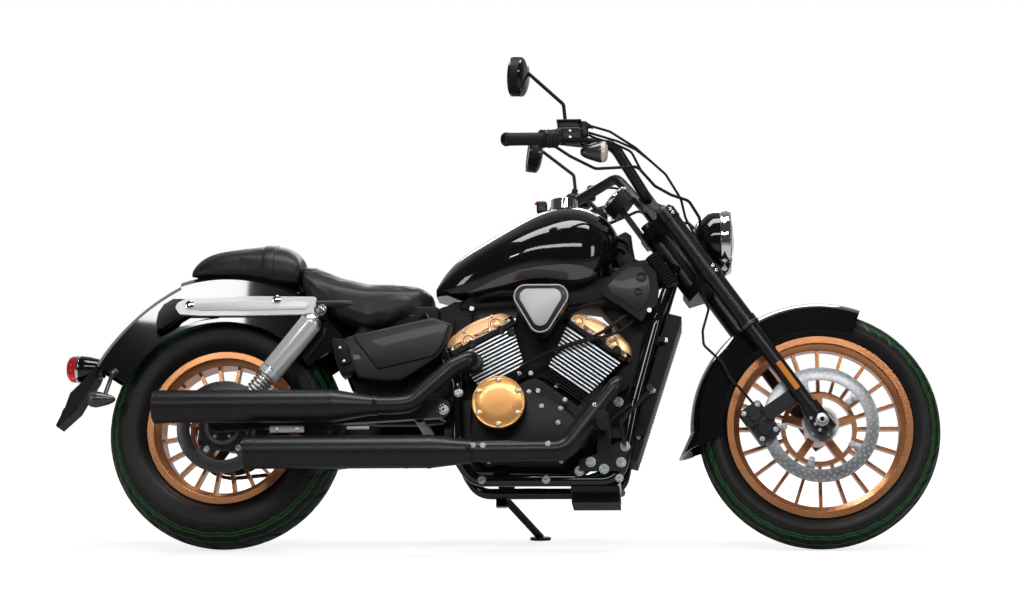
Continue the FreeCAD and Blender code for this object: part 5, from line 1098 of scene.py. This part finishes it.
def cushion(node, name, thing):
    remesh = thing.modifiers.new("even cells", "REMESH")
    remesh.mode = "VOXEL"
    remesh.voxel_size = VOXEL
    mesh = settle(thing)
    smooth_surface(mesh, 6)
    start = points_of(mesh)
    cloth = thing.modifiers.new("stuffing", "CLOTH")
    cloth.settings.use_pressure = True
    cloth.settings.uniform_pressure_force = PRESSURE
    cloth.settings.effector_weights.gravity = 0.0
    cloth.settings.quality = 4
    cloth.point_cache.frame_start, cloth.point_cache.frame_end = 1, FRAMES
    for step in range(1, FRAMES + 1):
        scene.frame_set(step)
    mesh = settle(thing)
    scene.frame_set(1)
    moved_by = points_of(mesh) - start
    moved_by -= moved_by.mean(0)
    far = np.linalg.norm(moved_by, axis=1)[:, None]
    moved_by *= np.minimum(1.0, CAP / np.maximum(far, 1e-9))
    mesh.vertices.foreach_set("co", (start + moved_by).astype(np.float32).ravel())
    smooth_surface(mesh, 2)
    print(name, "moved at most", round(float(far.max()) * 1000, 1), "mm")
    finer = thing.modifiers.new("finer", "SUBSURF")
    finer.levels = finer.render_levels = 1
    mesh = settle(thing)
    mesh.shade_smooth()
    mesh.materials.clear()
    mesh.materials.append(vinyl)
    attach(thing, "frame")
    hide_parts(node)
    print(name, len(mesh.polygons), "faces")
    return thing


RIDER_ROWS = ((580, 52, 716, 704, 688, 662, 44), (549, 92, 736, 716, 680, 640, 84),
              (470, 124, 738, 710, 660, 618, 112), (395, 141, 741, 708, 654, 606, 122),
              (320, 143, 760, 722, 672, 632, 124), (250, 131, 790, 748, 706, 676, 112),
              (212, 112, 806, 768, 744, 722, 96))
rider_seat = cushion("rider_seat", "rider_cushion", seat_body("rider_cushion", RIDER_ROWS))
passenger_seat = cushion("passenger_seat", "passenger_cushion",
                         welded_copy("passenger_seat", "passenger_cushion"))

# %% [markdown]
# A strap crosses the passenger's seat, and piping runs along it.  Both follow the
# cushion that the simulation left: rays shot at it from outside find its surface.

# %% Strap and seams over a cushion
def over(thing, x, degrees, middle_z, lift):
    """Points on a cushion round a line at station x: rays come in from 300 mm away, at
    angles from straight up, towards (x, 0, middle_z); the hits are raised by lift."""
    mesh = thing.data
    tree = BVHTree.FromPolygons([v.co for v in mesh.vertices],
                                [p.vertices for p in mesh.polygons])
    out = []
    for angle in np.radians(degrees):
        way = np.array([0.0, math.sin(angle), math.cos(angle)])
        start = np.array([x, 0.0, middle_z]) + way * 300.0
        hit = tree.ray_cast(Vector(machine(start)), Vector(machine.way(-way)))[0]
        if hit is not None:
            out.append(measure(hit) + way * lift)
    return np.array(out)


STRAP_LOW, STRAP_HIGH = 98.0, 132.0
# station, lift above the cushion: across the top, then back underneath
STRAP = ((STRAP_LOW, -1.0), (STRAP_LOW + 0.5, 2.2), (STRAP_LOW + 3, 3.2),
         ((STRAP_LOW + STRAP_HIGH) / 2, 3.4), (STRAP_HIGH - 3, 3.2), (STRAP_HIGH - 0.5, 2.2),
         (STRAP_HIGH, -1.0), (STRAP_HIGH - 2, -2.0), (STRAP_LOW + 2, -2.0))
rows = [over(passenger_seat, x, np.linspace(-104, 104, 70), 790.0, lift) for x, lift in STRAP]
count = min(len(row) for row in rows[:7])
rows = [row[np.linspace(0, len(row) - 1, count).round().astype(int)] for row in rows]
piece("passenger_strap", [skin(np.stack(rows, 1))], vinyl, "passenger_seat", sharp=60)
seams = [pipe(over(thing, x, np.linspace(-span, span, 60), middle, 0.2), 1.3, 8)
         for thing, x, middle, span in ((passenger_seat, 40.0, 790.0, 100),
                                        (rider_seat, 470.0, 680.0, 78),
                                        (rider_seat, 246.0, 740.0, 70))]
piece("seat_seams", seams, vinyl, "rider_seat", sharp=60)

# %% [markdown]
# ## Cylinders
# Each cylinder leans its own way from the crankshaft, so its details are measured in a
# frame tipped by the cylinder's angle.  The fins are painted black and their rims are
# machined bright afterwards; a thin strip with softened edges stands on each fin.

# %% Bright fin rims
FIN_BASE, FIN_Y, RIM_PITCH = 140.0, 104.0, 10.4
# name, frame, height of the head's top, shift of the head along the engine
CYLINDERS = [(name, machine.inner((862.0, 0.0, 305.0), tilt), head_top, shift)
             for name, tilt, head_top, shift in (("front", 35.0, 322.0, -2.0),
                                                 ("rear", -27.3, 310.0, 1.0))]
for name, bore, head_top, shift in CYLINDERS:
    strips = []
    for level in np.arange(head_top - 24, FIN_BASE + 34, -RIM_PITCH):
        share = (level - FIN_BASE) / (head_top - FIN_BASE)
        half, middle = 61 + 34 * share, shift * share
        strips += [block((middle - half, side * (FIN_Y - 3), level - 2.4),
                         (middle + half, side * (FIN_Y + 1.2), level + 2.4), 0.9)
                   for side in (-1, 1)]
    piece(name + "_fin_rims", strips, fin_bright, name + "_cylinder", place=bore, sharp=50)

# %% [markdown]
# ## Rocker covers
# The covers are gold castings: three arcs make their outline, and both faces are
# rounded over.  A flange with bolts joins each one to its head.

# %% Rocker covers
def arc_through(a, b, c, count):
    """count points of the circle through three 2-D points, from a to c past b."""
    rows = 2 * np.array([b - a, c - b])
    middle = np.linalg.solve(rows, [b @ b - a @ a, c @ c - b @ b])
    turn = [math.atan2(*(p - middle)[::-1]) for p in (a, b, c)]
    to_b, to_c = ((t - turn[0]) % (2 * math.pi) for t in turn[1:])
    if to_b > to_c:
        to_c -= 2 * math.pi
    return polar(middle, np.linalg.norm(a - middle), turn[0] + np.linspace(0, to_c, count))


ROCKER = np.array([(1.0, 0.0), (0.885, 0.577), (0.596, 0.846), (0.0, 1.0), (-0.596, 0.846),
                   (-0.885, 0.577), (-1.0, 0.0)])
for name, bore, head_top, shift in CYLINDERS:
    cover, low, high = name + "_rocker_cover", head_top + 0.2, head_top + 9
    corners = ROCKER * (104, 52) + (shift, head_top)
    outline = np.vstack([arc_through(*corners[at:at + 3], 14)[:-1] for at in (0, 2, 4)]
                        + [corners[-1:]])
    piece(name + "_rocker_dome", [slab(outline, 84, -84, 11),
                                  slab(inset(outline, 13), -83, -86.5, 2)],
          gold_cover, cover, stands_in=True, place=bore, sharp=50)
    flange = [(shift - 103, low), (shift + 103, low), (shift + 103, high), (shift - 103, high)]
    piece(name + "_rocker_flange", [slab(flange, 86.5, -86.5, 2)], dark_cast, cover,
          place=bore)
    screws = [cap_screw((shift + u * 88, side * 86, head_top + 5.5), SIDE * side, 5.0)
              for u in (-1, -0.33, 0.33, 1) for side in (-1, 1)]
    piece(name + "_rocker_screws", screws, zinc, cover, place=bore)

# %% Bosses, studs and plugs of the heads
BOSS = ((-6, 21), (2, 21), (4, 19.5), (4, 16.5), (1.0, 14.5), (0.4, 12), (1.6, 9), (1.8, 1))
PLUG = ((-4, 12.5), (3, 12.5), (4.5, 10.5), (4.5, 7), (3, 6), (3, 1))
# name, one part's maker with its settings, station, finish, sharp angle, places
HEAD_PARTS = (
    ("rocker_bosses", partial(turned, BOSS, way=-SIDE, steps=40), -86, gold_cover, 50,
     ((685, 570), (760, 617), (988, 621), (1085, 555))),
    ("rocker_studs", partial(cap_screw, way=-SIDE, radius=4.6, height=5.0), -86, zinc, 35,
     ((671, 598), (749, 640), (1017, 633), (1092, 580))),
    ("head_plugs", partial(turned, PLUG, way=-SIDE, steps=28), -104, dark_cast, 50,
     ((776, 596), (806, 589), (684, 522), (696, 555), (1074, 592), (1098, 536))))
for name, make, y, material, sharp, places in HEAD_PARTS:
    piece(name, [make((x, y, z)) for x, z in places], material, "front_rocker_cover",
          sharp=sharp)

# %% [markdown]
# ## Case covers
# The clutch works behind a deep round housing with a gold lid; six bolts in lobes hold
# the lid.  The generator's cover on the other side is built the same way.

# %% Clutch and generator covers
# name, side, three corners of its own, cover face, housing centre, radius, depth, lid
COVERS = (("clutch", -1, ((696, 376), (696, 236), (745, 212)), 128, (778, 376), 74, 66, 72),
          ("generator", 1, ((716, 382), (716, 236), (765, 212)), 118, (850, 305), 88, 26, 84))
CASE_LINE = ((950, 212), (1000, 262), (1000, 330), (950, 378), (860, 428), (752, 402))
for name, side, own, cover_y, (x, z), radius, depth, lid in COVERS:
    node, out = name + "_cover", SIDE * side
    edge = softened((*own[1:], *CASE_LINE, own[0]), 16, 5)
    at = np.array([x, side * cover_y, z])
    drum = turned([(-3, 1), (-3, radius), (depth * 0.62, radius), (depth * 0.78, radius * 0.985),
                   (depth - 14, radius * 0.99), (depth - 13, 1)], at, out, 96)
    piece(name + "_housing", [slab(edge, side * 92, side * cover_y, 9),
                              slab(inset(edge, 3), side * 95, side * 99, 0.8), drum],
          dark_cast, node, stands_in=True, sharp=40)
    profile = [(depth - down, reach) for down, reach in (
        (14, 1), (14, lid), (4.6, lid), (3.2, lid - 1.4), (3.0, lid - 4), (4.0, lid - 5.5),
        (3.2, lid - 7), (2.2, lid - 9), (1.2, lid * 0.5), (0.8, 1))]
    lobes = [at + spot((0, 0, 0), lid - 11, a) for a in range(30, 390, 60)]
    pads = [turned([(depth - 8, 8.5), (depth - 1.8, 8.5), (depth - 1.2, 7.4), (depth - 1.2, 1)],
                   lobe, out, 24) for lobe in lobes]
    piece(name + "_lid", [turned(profile, at, out, 128)] + pads, lid_gold, node, sharp=40)
    heads = [cap_screw(lobe + out * (depth - 1.6), out, 5.0, 1.4) for lobe in lobes]
    heads += [hex_bolt((px, side * cover_y, pz), out, 4.6, 4.5)
              for px, pz in inset(edge, 10)[::5] if math.hypot(px - x, pz - z) > radius + 8]
    piece(name + "_bolts", heads, zinc, node)

# %% [markdown]
# ## Air cleaner and radiator
# A rounded triangle in three steps: a dark can, a bright ring and a grey plate held by
# two screws.  Thin slats cross the radiator's frame in front of the engine.

# %% Air cleaner
air = softened(((790, 704), (996, 704), (891, 532)), 34, 8)
ring = skin([at_level(inset(air, step), y) for step, y in
             ((1.6, -193.0), (1.6, -198.2), (2.6, -199.4), (4.6, -199.4), (5.6, -198.2),
              (5.6, -195.0))], close_stack=True)
plate = softened(((817, 690), (965, 690), (891, 563)), 22, 6)
AIR_PARTS = (("can", slab(inset(air, -0.6), -154, -197.6, 4), satin_black),
             ("ring", ring, plate_grey), ("plate", slab(plate, -195, -199.6, 1.4), plate_grey),
             ("screws", joined(*(cap_screw((x, -158, 708), -SIDE, 5.0, 4)
                                 for x in (843, 938))), zinc))
for name, shape, material in AIR_PARTS:
    piece("air_cleaner_" + name, [shape], material, "air_cleaner")

# %% Radiator slats and engine bolts
RADIATOR_TOP, RADIATOR_LOW = np.array([1281.0, 0, 640.0]), np.array([1156.0, 0, 240.0])
slats = []
for share in np.linspace(0.04, 0.96, 46):
    x, _, z = RADIATOR_TOP * (1 - share) + RADIATOR_LOW * share
    slats.append(block((x - 6, -74, z - 1.0), (x + 1.5, 74, z + 1.0), 0.3))
piece("radiator_slats", slats, dark_steel, "radiator")
# name, radius, height, sides, rows of (x, distance out, z)
BOLT_SETS = (
    ("peg_plate_bolts", 10.5, 9.0, (-1, 1),
     ((1027, 140, 218), (1109, 140, 217), (1120, 140, 261), (996, 129, 196), (1063, 140, 199),
      (1102, 122, 388), (625, 148, 363), (663, 136, 412))),
    ("shield_bolts", 5.6, 5.0, (-1,),
     ((742, 250, 245), (916, 240, 251), (716, 250, 246), (1040, 215, 360))),
    ("frame_bolts", 8.5, 8.0, (-1, 1),
     ((664, 145, 410), (1104, 128, 176), (730, 128, 172), (905, 128, 172))),
    ("panel_bolts", 5.0, 4.0, (-1, 1),
     ((1188, 117, 646), (691, 70, 667), (1232, 82, 569), (1155, 82, 297), (1197, 82, 427))),
    ("case_bolts", 4.8, 5.0, (-1,),
     ((704, 92, 405), (828, 100, 474), (860, 100, 474), (931, 92, 440), (882, 130, 418),
      (892, 128, 376), (937, 128, 330), (955, 118, 395))),
)
for name, radius, height, sides, rows in BOLT_SETS:
    piece(name, [hex_bolt((x, side * y, z), SIDE * side, radius, height, washer=2.0)
                 for x, y, z in rows for side in sides], zinc, "cradle_right")

# %% [markdown]
# ## What fills the space round the engine
# Under the tank and between the cylinders a real machine is packed with black parts:
# the throttle body, an electrics tray, the engine's mounting plates, hoses and leads.
# They are simple rounded plates and tubes; the matt black plates also fill the gaps between the
# parts where the space lies in shade, so there they are painted shade and close the view.

# %% Mounts, tray, throttle body and hoses
# half width, rounding of the corners, edge, outline
BAY = (
    (66, 10, 6, ((640, 664), (690, 712), (800, 748), (1000, 766), (1130, 752), (1190, 700),
                 (1168, 640), (1110, 662), (1010, 676), (900, 668), (780, 670), (700, 664))),
    (52, 14, 8, ((806, 470), (960, 462), (992, 520), (960, 668), (820, 668), (790, 560))),
    (60, 12, 6, ((1096, 612), (1178, 606), (1140, 420), (1112, 250), (1030, 250), (1040, 352),
                 (1084, 420))),
    (64, 12, 6, ((640, 640), (700, 655), (680, 560), (700, 470), (740, 402), (650, 400),
                 (640, 520))),
    (56, 10, 6, ((1050, 668), (1080, 720), (1176, 722), (1200, 640), (1160, 520), (1120, 540),
                 (1106, 610))),
    (60, 10, 6, ((594, 664), (640, 690), (690, 690), (700, 655), (660, 600), (652, 400),
                 (600, 396), (590, 520))))
# matt black plates that stand for the tray and mounting plates and also fill the dark gaps
# between parts as painted shade
piece("engine_bay", [slab(softened(line, rounding), -half, half, edge)
                     for half, rounding, edge, line in BAY], matte_black, "electrics_box")
throats = [turned([(0, 1), (0, 24), (20, 24), (22, 27), (44, 27), (46, 24), (70, 22), (70, 1)],
                  (891, -60, 600), -SIDE, 40),
           turned([(0, 1), (0, 17), (30, 17), (34, 13), (52, 13), (52, 1)], (962, -92, 352),
                  (-0.75, -0.1, 0.62), 32)]
piece("throttle_parts", throats, dark_cast, "air_cleaner", sharp=40)
HOSES = (
    (5, ((1129, -100, 640), (1105, -118, 618), (1060, -124, 585), (1018, -122, 566),
         (960, -120, 548), (893, -116, 522), (835, -104, 492), (800, -80, 470))),
    (4, ((1160, -92, 640), (1129, -108, 606), (1086, -120, 578), (1018, -126, 560),
         (950, -118, 540), (900, -90, 500))),
    (8, ((700, -60, 690), (740, -92, 700), (800, -98, 706), (842, -92, 690))),
    (6, ((955, -80, 640), (1000, -96, 662), (1060, -96, 676), (1120, -84, 690))),
    (9, ((964, -96, 350), (1000, -118, 330), (1018, -120, 300), (1000, -118, 262))),
    (4, ((1060, -134, 305), (1090, -140, 340), (1150, -118, 392), (1196, -96, 428))),
)
piece("engine_hoses", [pipe(smooth_path(points, 10), radius, 12) for radius, points in HOSES],
      wire_black, "electrics_box")

# %% [markdown]
# The wiring and the ignition lock fill the corner between the tank and the steering
# head, and each frame cover has a raised field with two round caps.

# %% Behind the steering head
HEAD_LINE = ((1084, 826), (1098, 884), (1122, 896), (1138, 884), (1142, 850), (1150, 804),
             (1212, 798), (1212, 694), (1162, 730), (1106, 786))
LEADS = (((1100, -44, 874), (1128, -50, 858), (1140, -48, 812), (1184, -44, 786),
          (1198, -44, 730)),
         ((1092, -46, 848), (1122, -54, 832), (1144, -52, 788), (1180, -46, 720)))
lock = turned([(0, 1), (0, 15), (18, 15), (20, 17), (26, 17), (27, 14), (27, 1)],
              (1128, -38, 806), -SIDE, 32)
piece("head_wiring", [slab(softened(HEAD_LINE, 8, 5), -40, 40, 6),
                      *(pipe(smooth_path(points, 8), 6, 12) for points in LEADS), lock],
      matte_black, "backbone")
FIELD_LINE = ((1072, 716), (1094, 744), (1130, 770), (1168, 770), (1186, 742), (1192, 706),
              (1184, 672), (1160, 640), (1112, 676), (1080, 696))
fields = []
for side in (-1, 1):
    fields.append(slab(softened(FIELD_LINE, 10, 5), side * 115.5, side * 118.6, 1.4))
    fields += [turned([(-1, 1), (-1, r), (3, r), (4, r - 1.5), (4, r - 4), (2.5, r - 6),
                       (2.5, 1)], (x, side * 118, z), SIDE * side, 36)
               for x, z, r in ((1166, 742, 15), (1158, 700, 11))]
piece("frame_cover_fields", fields, panel_black, "frame_covers", sharp=40)

# %% [markdown]
# ## Lamps at the rear
# The tail lamp is a black cone with a plated ring and a red lens; the rear signals are
# small bullets that point forward and carry their lenses behind.

# %% Tail lamp
TAIL_AT = (-364.0, 0.0, 515.0)
cone = turned([(8, 1), (0, 10), (0, 25), (14, 29), (40, 35.5), (62, 38.4), (70, 38.8), (70, 30),
               (70, 1)], TAIL_AT, BACK, 72)
piece("tail_lamp_body", [cone], gloss_black, "tail_lamp", stands_in=True, sharp=45)
ring = turned([(67, 38), (68, 39.2), (73, 39.2), (76, 38.8), (76, 36)], TAIL_AT, BACK, 72,
              whole=True)
piece("tail_lamp_ring", [ring], chrome, "tail_lamp")
dome = turned([(70, 1), (70, 37.6), (88, 37.4), (97, 34), (103, 25), (105.6, 12), (106, 1)],
              TAIL_AT, BACK, 72)
piece("tail_lamp_lens", [dome], red_lens, "tail_lamp", sharp=60)

# %% Rear signals and reflector
SIGNAL_AT = (-289.0, 150.0, 397.0)
bullet = turned([(0, 1), (0.4, 4), (6, 9), (20, 15), (38, 20), (50, 22.4), (58, 22.8), (58, 1)],
                SIGNAL_AT, BACK, 48)
stalk = pipe(smooth_path([(-304, 112, 480), (-304, 130, 478), (-308, 140, 455),
                          (-318, 148, 414)], 8), 6)
base = turned([(0, 1), (0, 12), (4, 12), (8, 8), (8, 1)], (-304, 116.5, 480), SIDE, 24)
piece("rear_signal_bodies", both(bullet, stalk, base), signal_grey, "rear_turn_signals",
      stands_in=True, sharp=45)
dome = turned([(57, 1), (57, 21.6), (66, 21.4), (72, 18), (75.4, 9), (76, 1)], SIGNAL_AT, BACK,
              48)
piece("rear_signal_lenses", both(dome), dark_lens, "rear_turn_signals", sharp=60)
piece("rear_reflector", [turned([(0, 1), (0, 17), (4, 17), (5.5, 15), (5.5, 1)],
                                (-470, 0, 390), (-0.93, 0, 0.37), 40)], red_lens,
      "plate_bracket", sharp=60)

# %% [markdown]
# ## Shock absorbers
# Each shock's spring is a wire carried along a helix: its middle goes round the shock's
# axis at a fixed radius, and on along the axis by the same amount each turn.

# %% Springs and sleeves
SHOCK_TOP, SHOCK_LOW = np.array([279.0, 162.0, 641.0]), np.array([86.0, 162.0, 392.0])
COILS, COIL_R = 5.6, 23.5
shock_way, shock_a, shock_b = basis(SHOCK_TOP - SHOCK_LOW)
end = np.linalg.norm(SHOCK_TOP - SHOCK_LOW)
t = np.linspace(0, 1, 150)[:, None]
round_by = 2 * math.pi * COILS * t
coil = pipe(SHOCK_LOW + shock_way * (22 + 62 * t)
            + COIL_R * (np.cos(round_by) * shock_a + np.sin(round_by) * shock_b), 4.6, 10)
on_shock = partial(turned, centre=SHOCK_LOW, way=shock_way, whole=True)
seat_ring = on_shock([(14, 10), (14, 28), (18, 29), (20, 26), (20, 10)], steps=40)
cap_ring = on_shock([(end - 42, 10), (end - 42, 31.5), (end - 34, 30), (end - 22, 20),
                     (end - 22, 10)], steps=48)
piece("shock_springs", both(coil, seat_ring, cap_ring), steel, "rear_shocks", sharp=50)
sleeve = on_shock([(82, 12), (82, 29), (85, 31.4), (100, 31.6), (104, 30.8), (108, 31.6),
                   (end - 42, 31.6), (end - 42, 12)])
piece("shock_sleeves", both(sleeve), sleeve_silver, "rear_shocks")

# %% Bolts and struts of the tail
mounts = [hex_bolt((x, side * 178, z), SIDE * side, 8, 7)
          for x, z in ((279, 641), (86, 392)) for side in (-1, 1)]
mounts += [turned([(0, 12), (2, 13), (5, 12), (7, 8), (7, 1)], (x, side * 129, z),
                  SIDE * side, 32) for x, z in ((-96, 669), (150, 682)) for side in (-1, 1)]
mounts += [hex_bolt((618, side * 149, 368), SIDE * side, 9, 8) for side in (-1, 1)]
mounts += [hex_bolt((x, -148.5, z), -SIDE, 5) for x, z in ((78, 376), (116, 400))]
piece("rear_bolts", mounts, chrome, "fender_struts")
strut_line = softened(((-112, 660), (-60, 652), (60, 652), (236, 654), (236, 676), (60, 680),
                       (-100, 674)), 8)
piece("strut_panels", [slab(strut_line, side * 129.2, side * 130.6, 0.9) for side in (-1, 1)],
      strut_silver, "fender_struts")

# %% [markdown]
# ## Exhaust details
# Clamps hold the mufflers, and each outlet has a rolled lip and a dark inside.

# %% Exhaust clamps and outlets
EXHAUST_Y = -222.0
bands, lips, clamps = [], [], []
for z, rear_x, front_x in ((361, -160, 330), (234, 96, 598)):
    bands += [turned([(-5, 44.5), (-5, 45 + grow), (5, 45 + grow), (5, 44.5)],
                     (x, EXHAUST_Y, z), AHEAD, whole=True)
              for x, grow in ((front_x - 3, 1.0), (rear_x + 12, 0.7), (front_x - 64, 0.6))]
    lips.append(turned([(0, 30), (-1.5, 31.5), (-2, 36), (-1.5, 42), (0.5, 45.4), (2, 45.2),
                        (2, 30)], (rear_x, EXHAUST_Y, z), AHEAD, whole=True))
for x, z, r in ((446, 361, 27.0), (704, 234, 33.5)):
    clamps += [turned([(-8, r - 2), (-8, r), (8, r), (8, r - 2)], (x, EXHAUST_Y, z), AHEAD, 48,
                      whole=True), hex_bolt((x, EXHAUST_Y - r - 1, z + 6), -SIDE, 5, 6)]
piece("exhaust_bands", bands, satin_black, "upper_exhaust", sharp=50)
piece("exhaust_lips", lips, exhaust_black, "upper_exhaust")
piece("exhaust_clamps", clamps, satin_black, "lower_exhaust", sharp=50)
ribs = rippled(np.linspace(0, 104, 90), 16.4, 0.9, 9.5)
peg = turned([(0, 8), *ribs, (105, 12), (105, 1)], (1063, 228, 306), SIDE, 28)
piece("peg_rubbers", both(peg), rubber, "foot_controls_right", sharp=60)

# %% [markdown]
# ## Side covers and the space under the seat
# A satin cover with one folded edge closes the side between the shock absorber and the
# engine.  It is two plates on each other: the upper one stops at the fold.

# %% Side covers, seat base, small brackets
COVER_LINE = ((340, 568), (372, 578), (588, 626), (645, 606), (628, 548), (604, 512),
              (508, 450), (470, 447), (388, 455), (362, 500))
FOLD_LINE = ((366, 572), (588, 622), (638, 604), (620, 548), (596, 514), (440, 478))
BASE_LINE = ((236, 716), (300, 668), (352, 622), (432, 606), (600, 622), (604, 668),
             (540, 672), (430, 660), (350, 690), (280, 742))
SHROUD_LINE = ((318, 545), (420, 560), (640, 585), (676, 520), (664, 350), (560, 338),
               (440, 338), (352, 346), (372, 430))
BOX_LINE = ((304, 570), (352, 566), (384, 476), (338, 462), (322, 500))
LID_LINE = ((322, 548), (350, 550), (366, 496), (336, 488))
PANELS = ((softened(COVER_LINE, 10, 5), 123, 141), (softened(FOLD_LINE, 8), 138, 146))
piece("side_panels", [slab(line, side * low, side * high, 5) for side in (-1, 1)
                      for line, low, high in PANELS],
      panel_black, "side_covers", stands_in=True, sharp=40)
piece("seat_base", [slab(softened(BASE_LINE, 12, 5), -92, 92, 8)], matte_black, "seat_rails")
piece("rear_shroud", [slab(softened(SHROUD_LINE, 14, 5), -70, -30, 6)], matte_black,
      "swingarm")
boxes = [slab(softened(BOX_LINE, 8), side * 84, side * 140, 4) for side in (-1, 1)]
piece("rectifier_boxes", boxes + [slab(softened(LID_LINE, 6), -138, -146, 3)], matte_black,
      "regulator")
piece("rectifier_bolts", [cap_screw((x, -145.5, z), -SIDE, 4.2, 3)
                          for x, z in ((334, 540), (346, 502))], zinc, "regulator")
plates = [slab(softened(((low, 311 - drop), (high, 311 - drop), (high, foot), (low, foot)), 3),
               -196, y, 1) for low, high, drop, foot, y in ((156, 250, 0, 292, -201),
                                                            (366, 428, 2, 300, -200))]
piece("muffler_brackets", plates, plate_grey, "lower_exhaust")
piece("muffler_bracket_bolts", [cap_screw((x, -201, 301), -SIDE, 5, 3) for x in (176, 230)],
      zinc, "lower_exhaust")

# %% [markdown]
# ## Dressing the sized parts
# A sized part whose shape is right only needs its real finish.  One table says which
# parts get each one.

# %% Finishes of the sized parts
DRESS = (
    (gloss_sized, "fuel_tank front_fender rear_fender headlight"),
    (trim_grey, "tank_trim"),
    (panel_black, "side_covers"),
    (chrome, "fuel_cap rear_shocks"),
    (bronze, "front_rim rear_rim"),
    (steel, "front_brake_disc front_axle"),
    (dark_steel, "rear_brake_disc rear_sprocket drive_chain"),
    (gloss_black, "cradle_right cradle_left"),
    (satin_black, "fork_leg_right fork_leg_left triple_clamps handlebar backbone seat_rails "
                  "swingarm foot_controls_right foot_controls_left front_brake_caliper "
                  "rear_brake_caliper side_stand regulator"),
    (matte_black, "instrument_gauge front_turn_signals electrics_box frame_covers "
                  "plate_bracket engine_guard radiator mirrors rear_turn_signals tail_lamp "
                  "front_cylinder rear_cylinder"),
    (rubber, "hand_controls_right hand_controls_left front_brake_hose"),
    (wire_black, "handlebar_cables"),
    (dark_cast, "crankcase air_cleaner"),
    (gold_cover, "front_rocker_cover rear_rocker_cover clutch_cover generator_cover"),
    (exhaust_black, "upper_exhaust lower_exhaust"),
    (strut_silver, "fender_struts"),
)
for material, nodes in DRESS:
    for node in nodes.split():
        slots = frame["nodes"][node].data.materials
        slots.clear()
        slots.append(material)
print("dressed", sum(len(nodes.split()) for _, nodes in DRESS), "of", len(frame["nodes"]))

# %% [markdown]
# ## Floor, backdrop and light
# The machine stands in a pale studio.  The floor is an ordinary pale surface that takes
# a soft shadow, and for what the camera sees directly it glows just enough to come out
# white where no shadow falls.  The backdrop is the world's own colour, white to the
# camera.  Polished parts see it behind the machine, and a dimmer room on the near side,
# which is why black paint stays black with a few clear highlights.

# %% Floor
FLOOR_GLOW, FLOOR_HALF, FLOOR_GAP = 0.77, 14.0, 0.0002


def seen_directly(tree):
    """The light path's Glossy value, and 1 for what the camera sees, through glass too."""
    rays = add(tree, "LightPath").outputs
    return rays["Is Glossy Ray"], calc(tree, "MAXIMUM", rays["Is Camera Ray"],
                                       rays["Is Transmission Ray"])


def faded(tree, value, low, high, at_low, at_high):
    """A value carried from the range low to high onto the range at_low to at_high."""
    return add(tree, "MapRange", {"Value": value, "From Min": low, "From Max": high,
                                  "To Min": at_low, "To Max": at_high}).outputs[0]


paint, tree, shader = principled("floor", (0.42, 0.42, 0.42), {
    "Roughness": 0.9, "Specular IOR Level": 0.0, "Emission Color": (1, 1, 1, 1)})
glossy, seen = seen_directly(tree)
seen = calc(tree, "MAXIMUM", seen, calc(tree, "MULTIPLY", glossy, 0.12))
away = add(tree, "VectorMath", {0: object_point(tree)}, operation="LENGTH").outputs["Value"]
feed(shader, {"Emission Strength": calc(tree, "MULTIPLY", seen,
                                        faded(tree, away, 1.3, 3.0, FLOOR_GLOW, 1.0))})
floor_mesh = bpy.data.meshes.new("floor")
floor_level = sized_low[2] - FLOOR_GAP
floor_mesh.from_pydata([(FLOOR_HALF * x, FLOOR_HALF * y, floor_level) for x, y in
                        ((-1, -1), (1, -1), (1, 1), (-1, 1))], [], [[0, 1, 2, 3]])
floor_mesh.materials.append(paint)
linked("floor", floor_mesh)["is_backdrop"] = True
print("floor at", floor_level)

# %% World
AMBIENT = 0.20
scene.world = bpy.data.worlds.new("studio")
scene.world.use_nodes = True
tree = scene.world.node_tree
direction = add(tree, "SeparateXYZ", {0: add(tree, "TexCoord").outputs["Generated"]})
glossy, seen = seen_directly(tree)
mirror = calc(tree, "MULTIPLY", glossy,
              faded(tree, direction.outputs["Y"], 0.1, 0.7, 0.05, 0.35))
ambient = calc(tree, "MULTIPLY", calc(tree, "SUBTRACT", 1.0, glossy), AMBIENT)
strength = calc(tree, "MAXIMUM", seen, calc(tree, "ADD", mirror, ambient))
feed(tree.nodes["Background"], {"Color": (1, 1, 1, 1), "Strength": strength})
print("world", scene.world.name)

# %% Lamps
# name, place, what it faces, width, height, power
LAMPS = (("overhead", (0.2, -0.3, 3.4), (0.1, 0.0, 0.5), 3.0, 0.9, 80),
         ("near_high", (0.6, -3.6, 2.9), (0.0, 0.0, 0.5), 3.4, 0.5, 52),
         ("rear_low", (-3.6, -2.4, 1.3), (-0.4, 0.0, 0.4), 0.6, 1.4, 18),
         ("front_side", (3.8, -2.2, 1.6), (0.5, 0.0, 0.5), 0.6, 1.6, 22),
         ("rear_card", (-2.28, -6.0, 3.72), (-0.9, 0.0, 0.7), 0.62, 0.34, 15),
         ("back_rim", (0.0, 3.2, 2.4), (0.0, 0.0, 0.8), 3.0, 0.8, 50))
for name, at, aim, width, height, power in LAMPS:
    lamp = bpy.data.lights.new(name, "AREA")
    lamp.shape, lamp.size, lamp.size_y, lamp.energy = "RECTANGLE", width, height, power
    facing = (Vector(aim) - Vector(at)).to_track_quat("-Z", "Y")
    linked(name, lamp).matrix_world = (Matrix.Translation(Vector(at))
                                       @ facing.to_matrix().to_4x4())
scene.view_settings.view_transform = "Standard"
print("floor, world and", len(LAMPS), "lamps")

# %% [markdown]
# ## The size of what shows
# The finer surfaces must not make the machine larger than its sized model, so the sized
# model's box is printed at the end.

# %% Print the sized box
print("sized", sized_low, sized_high)
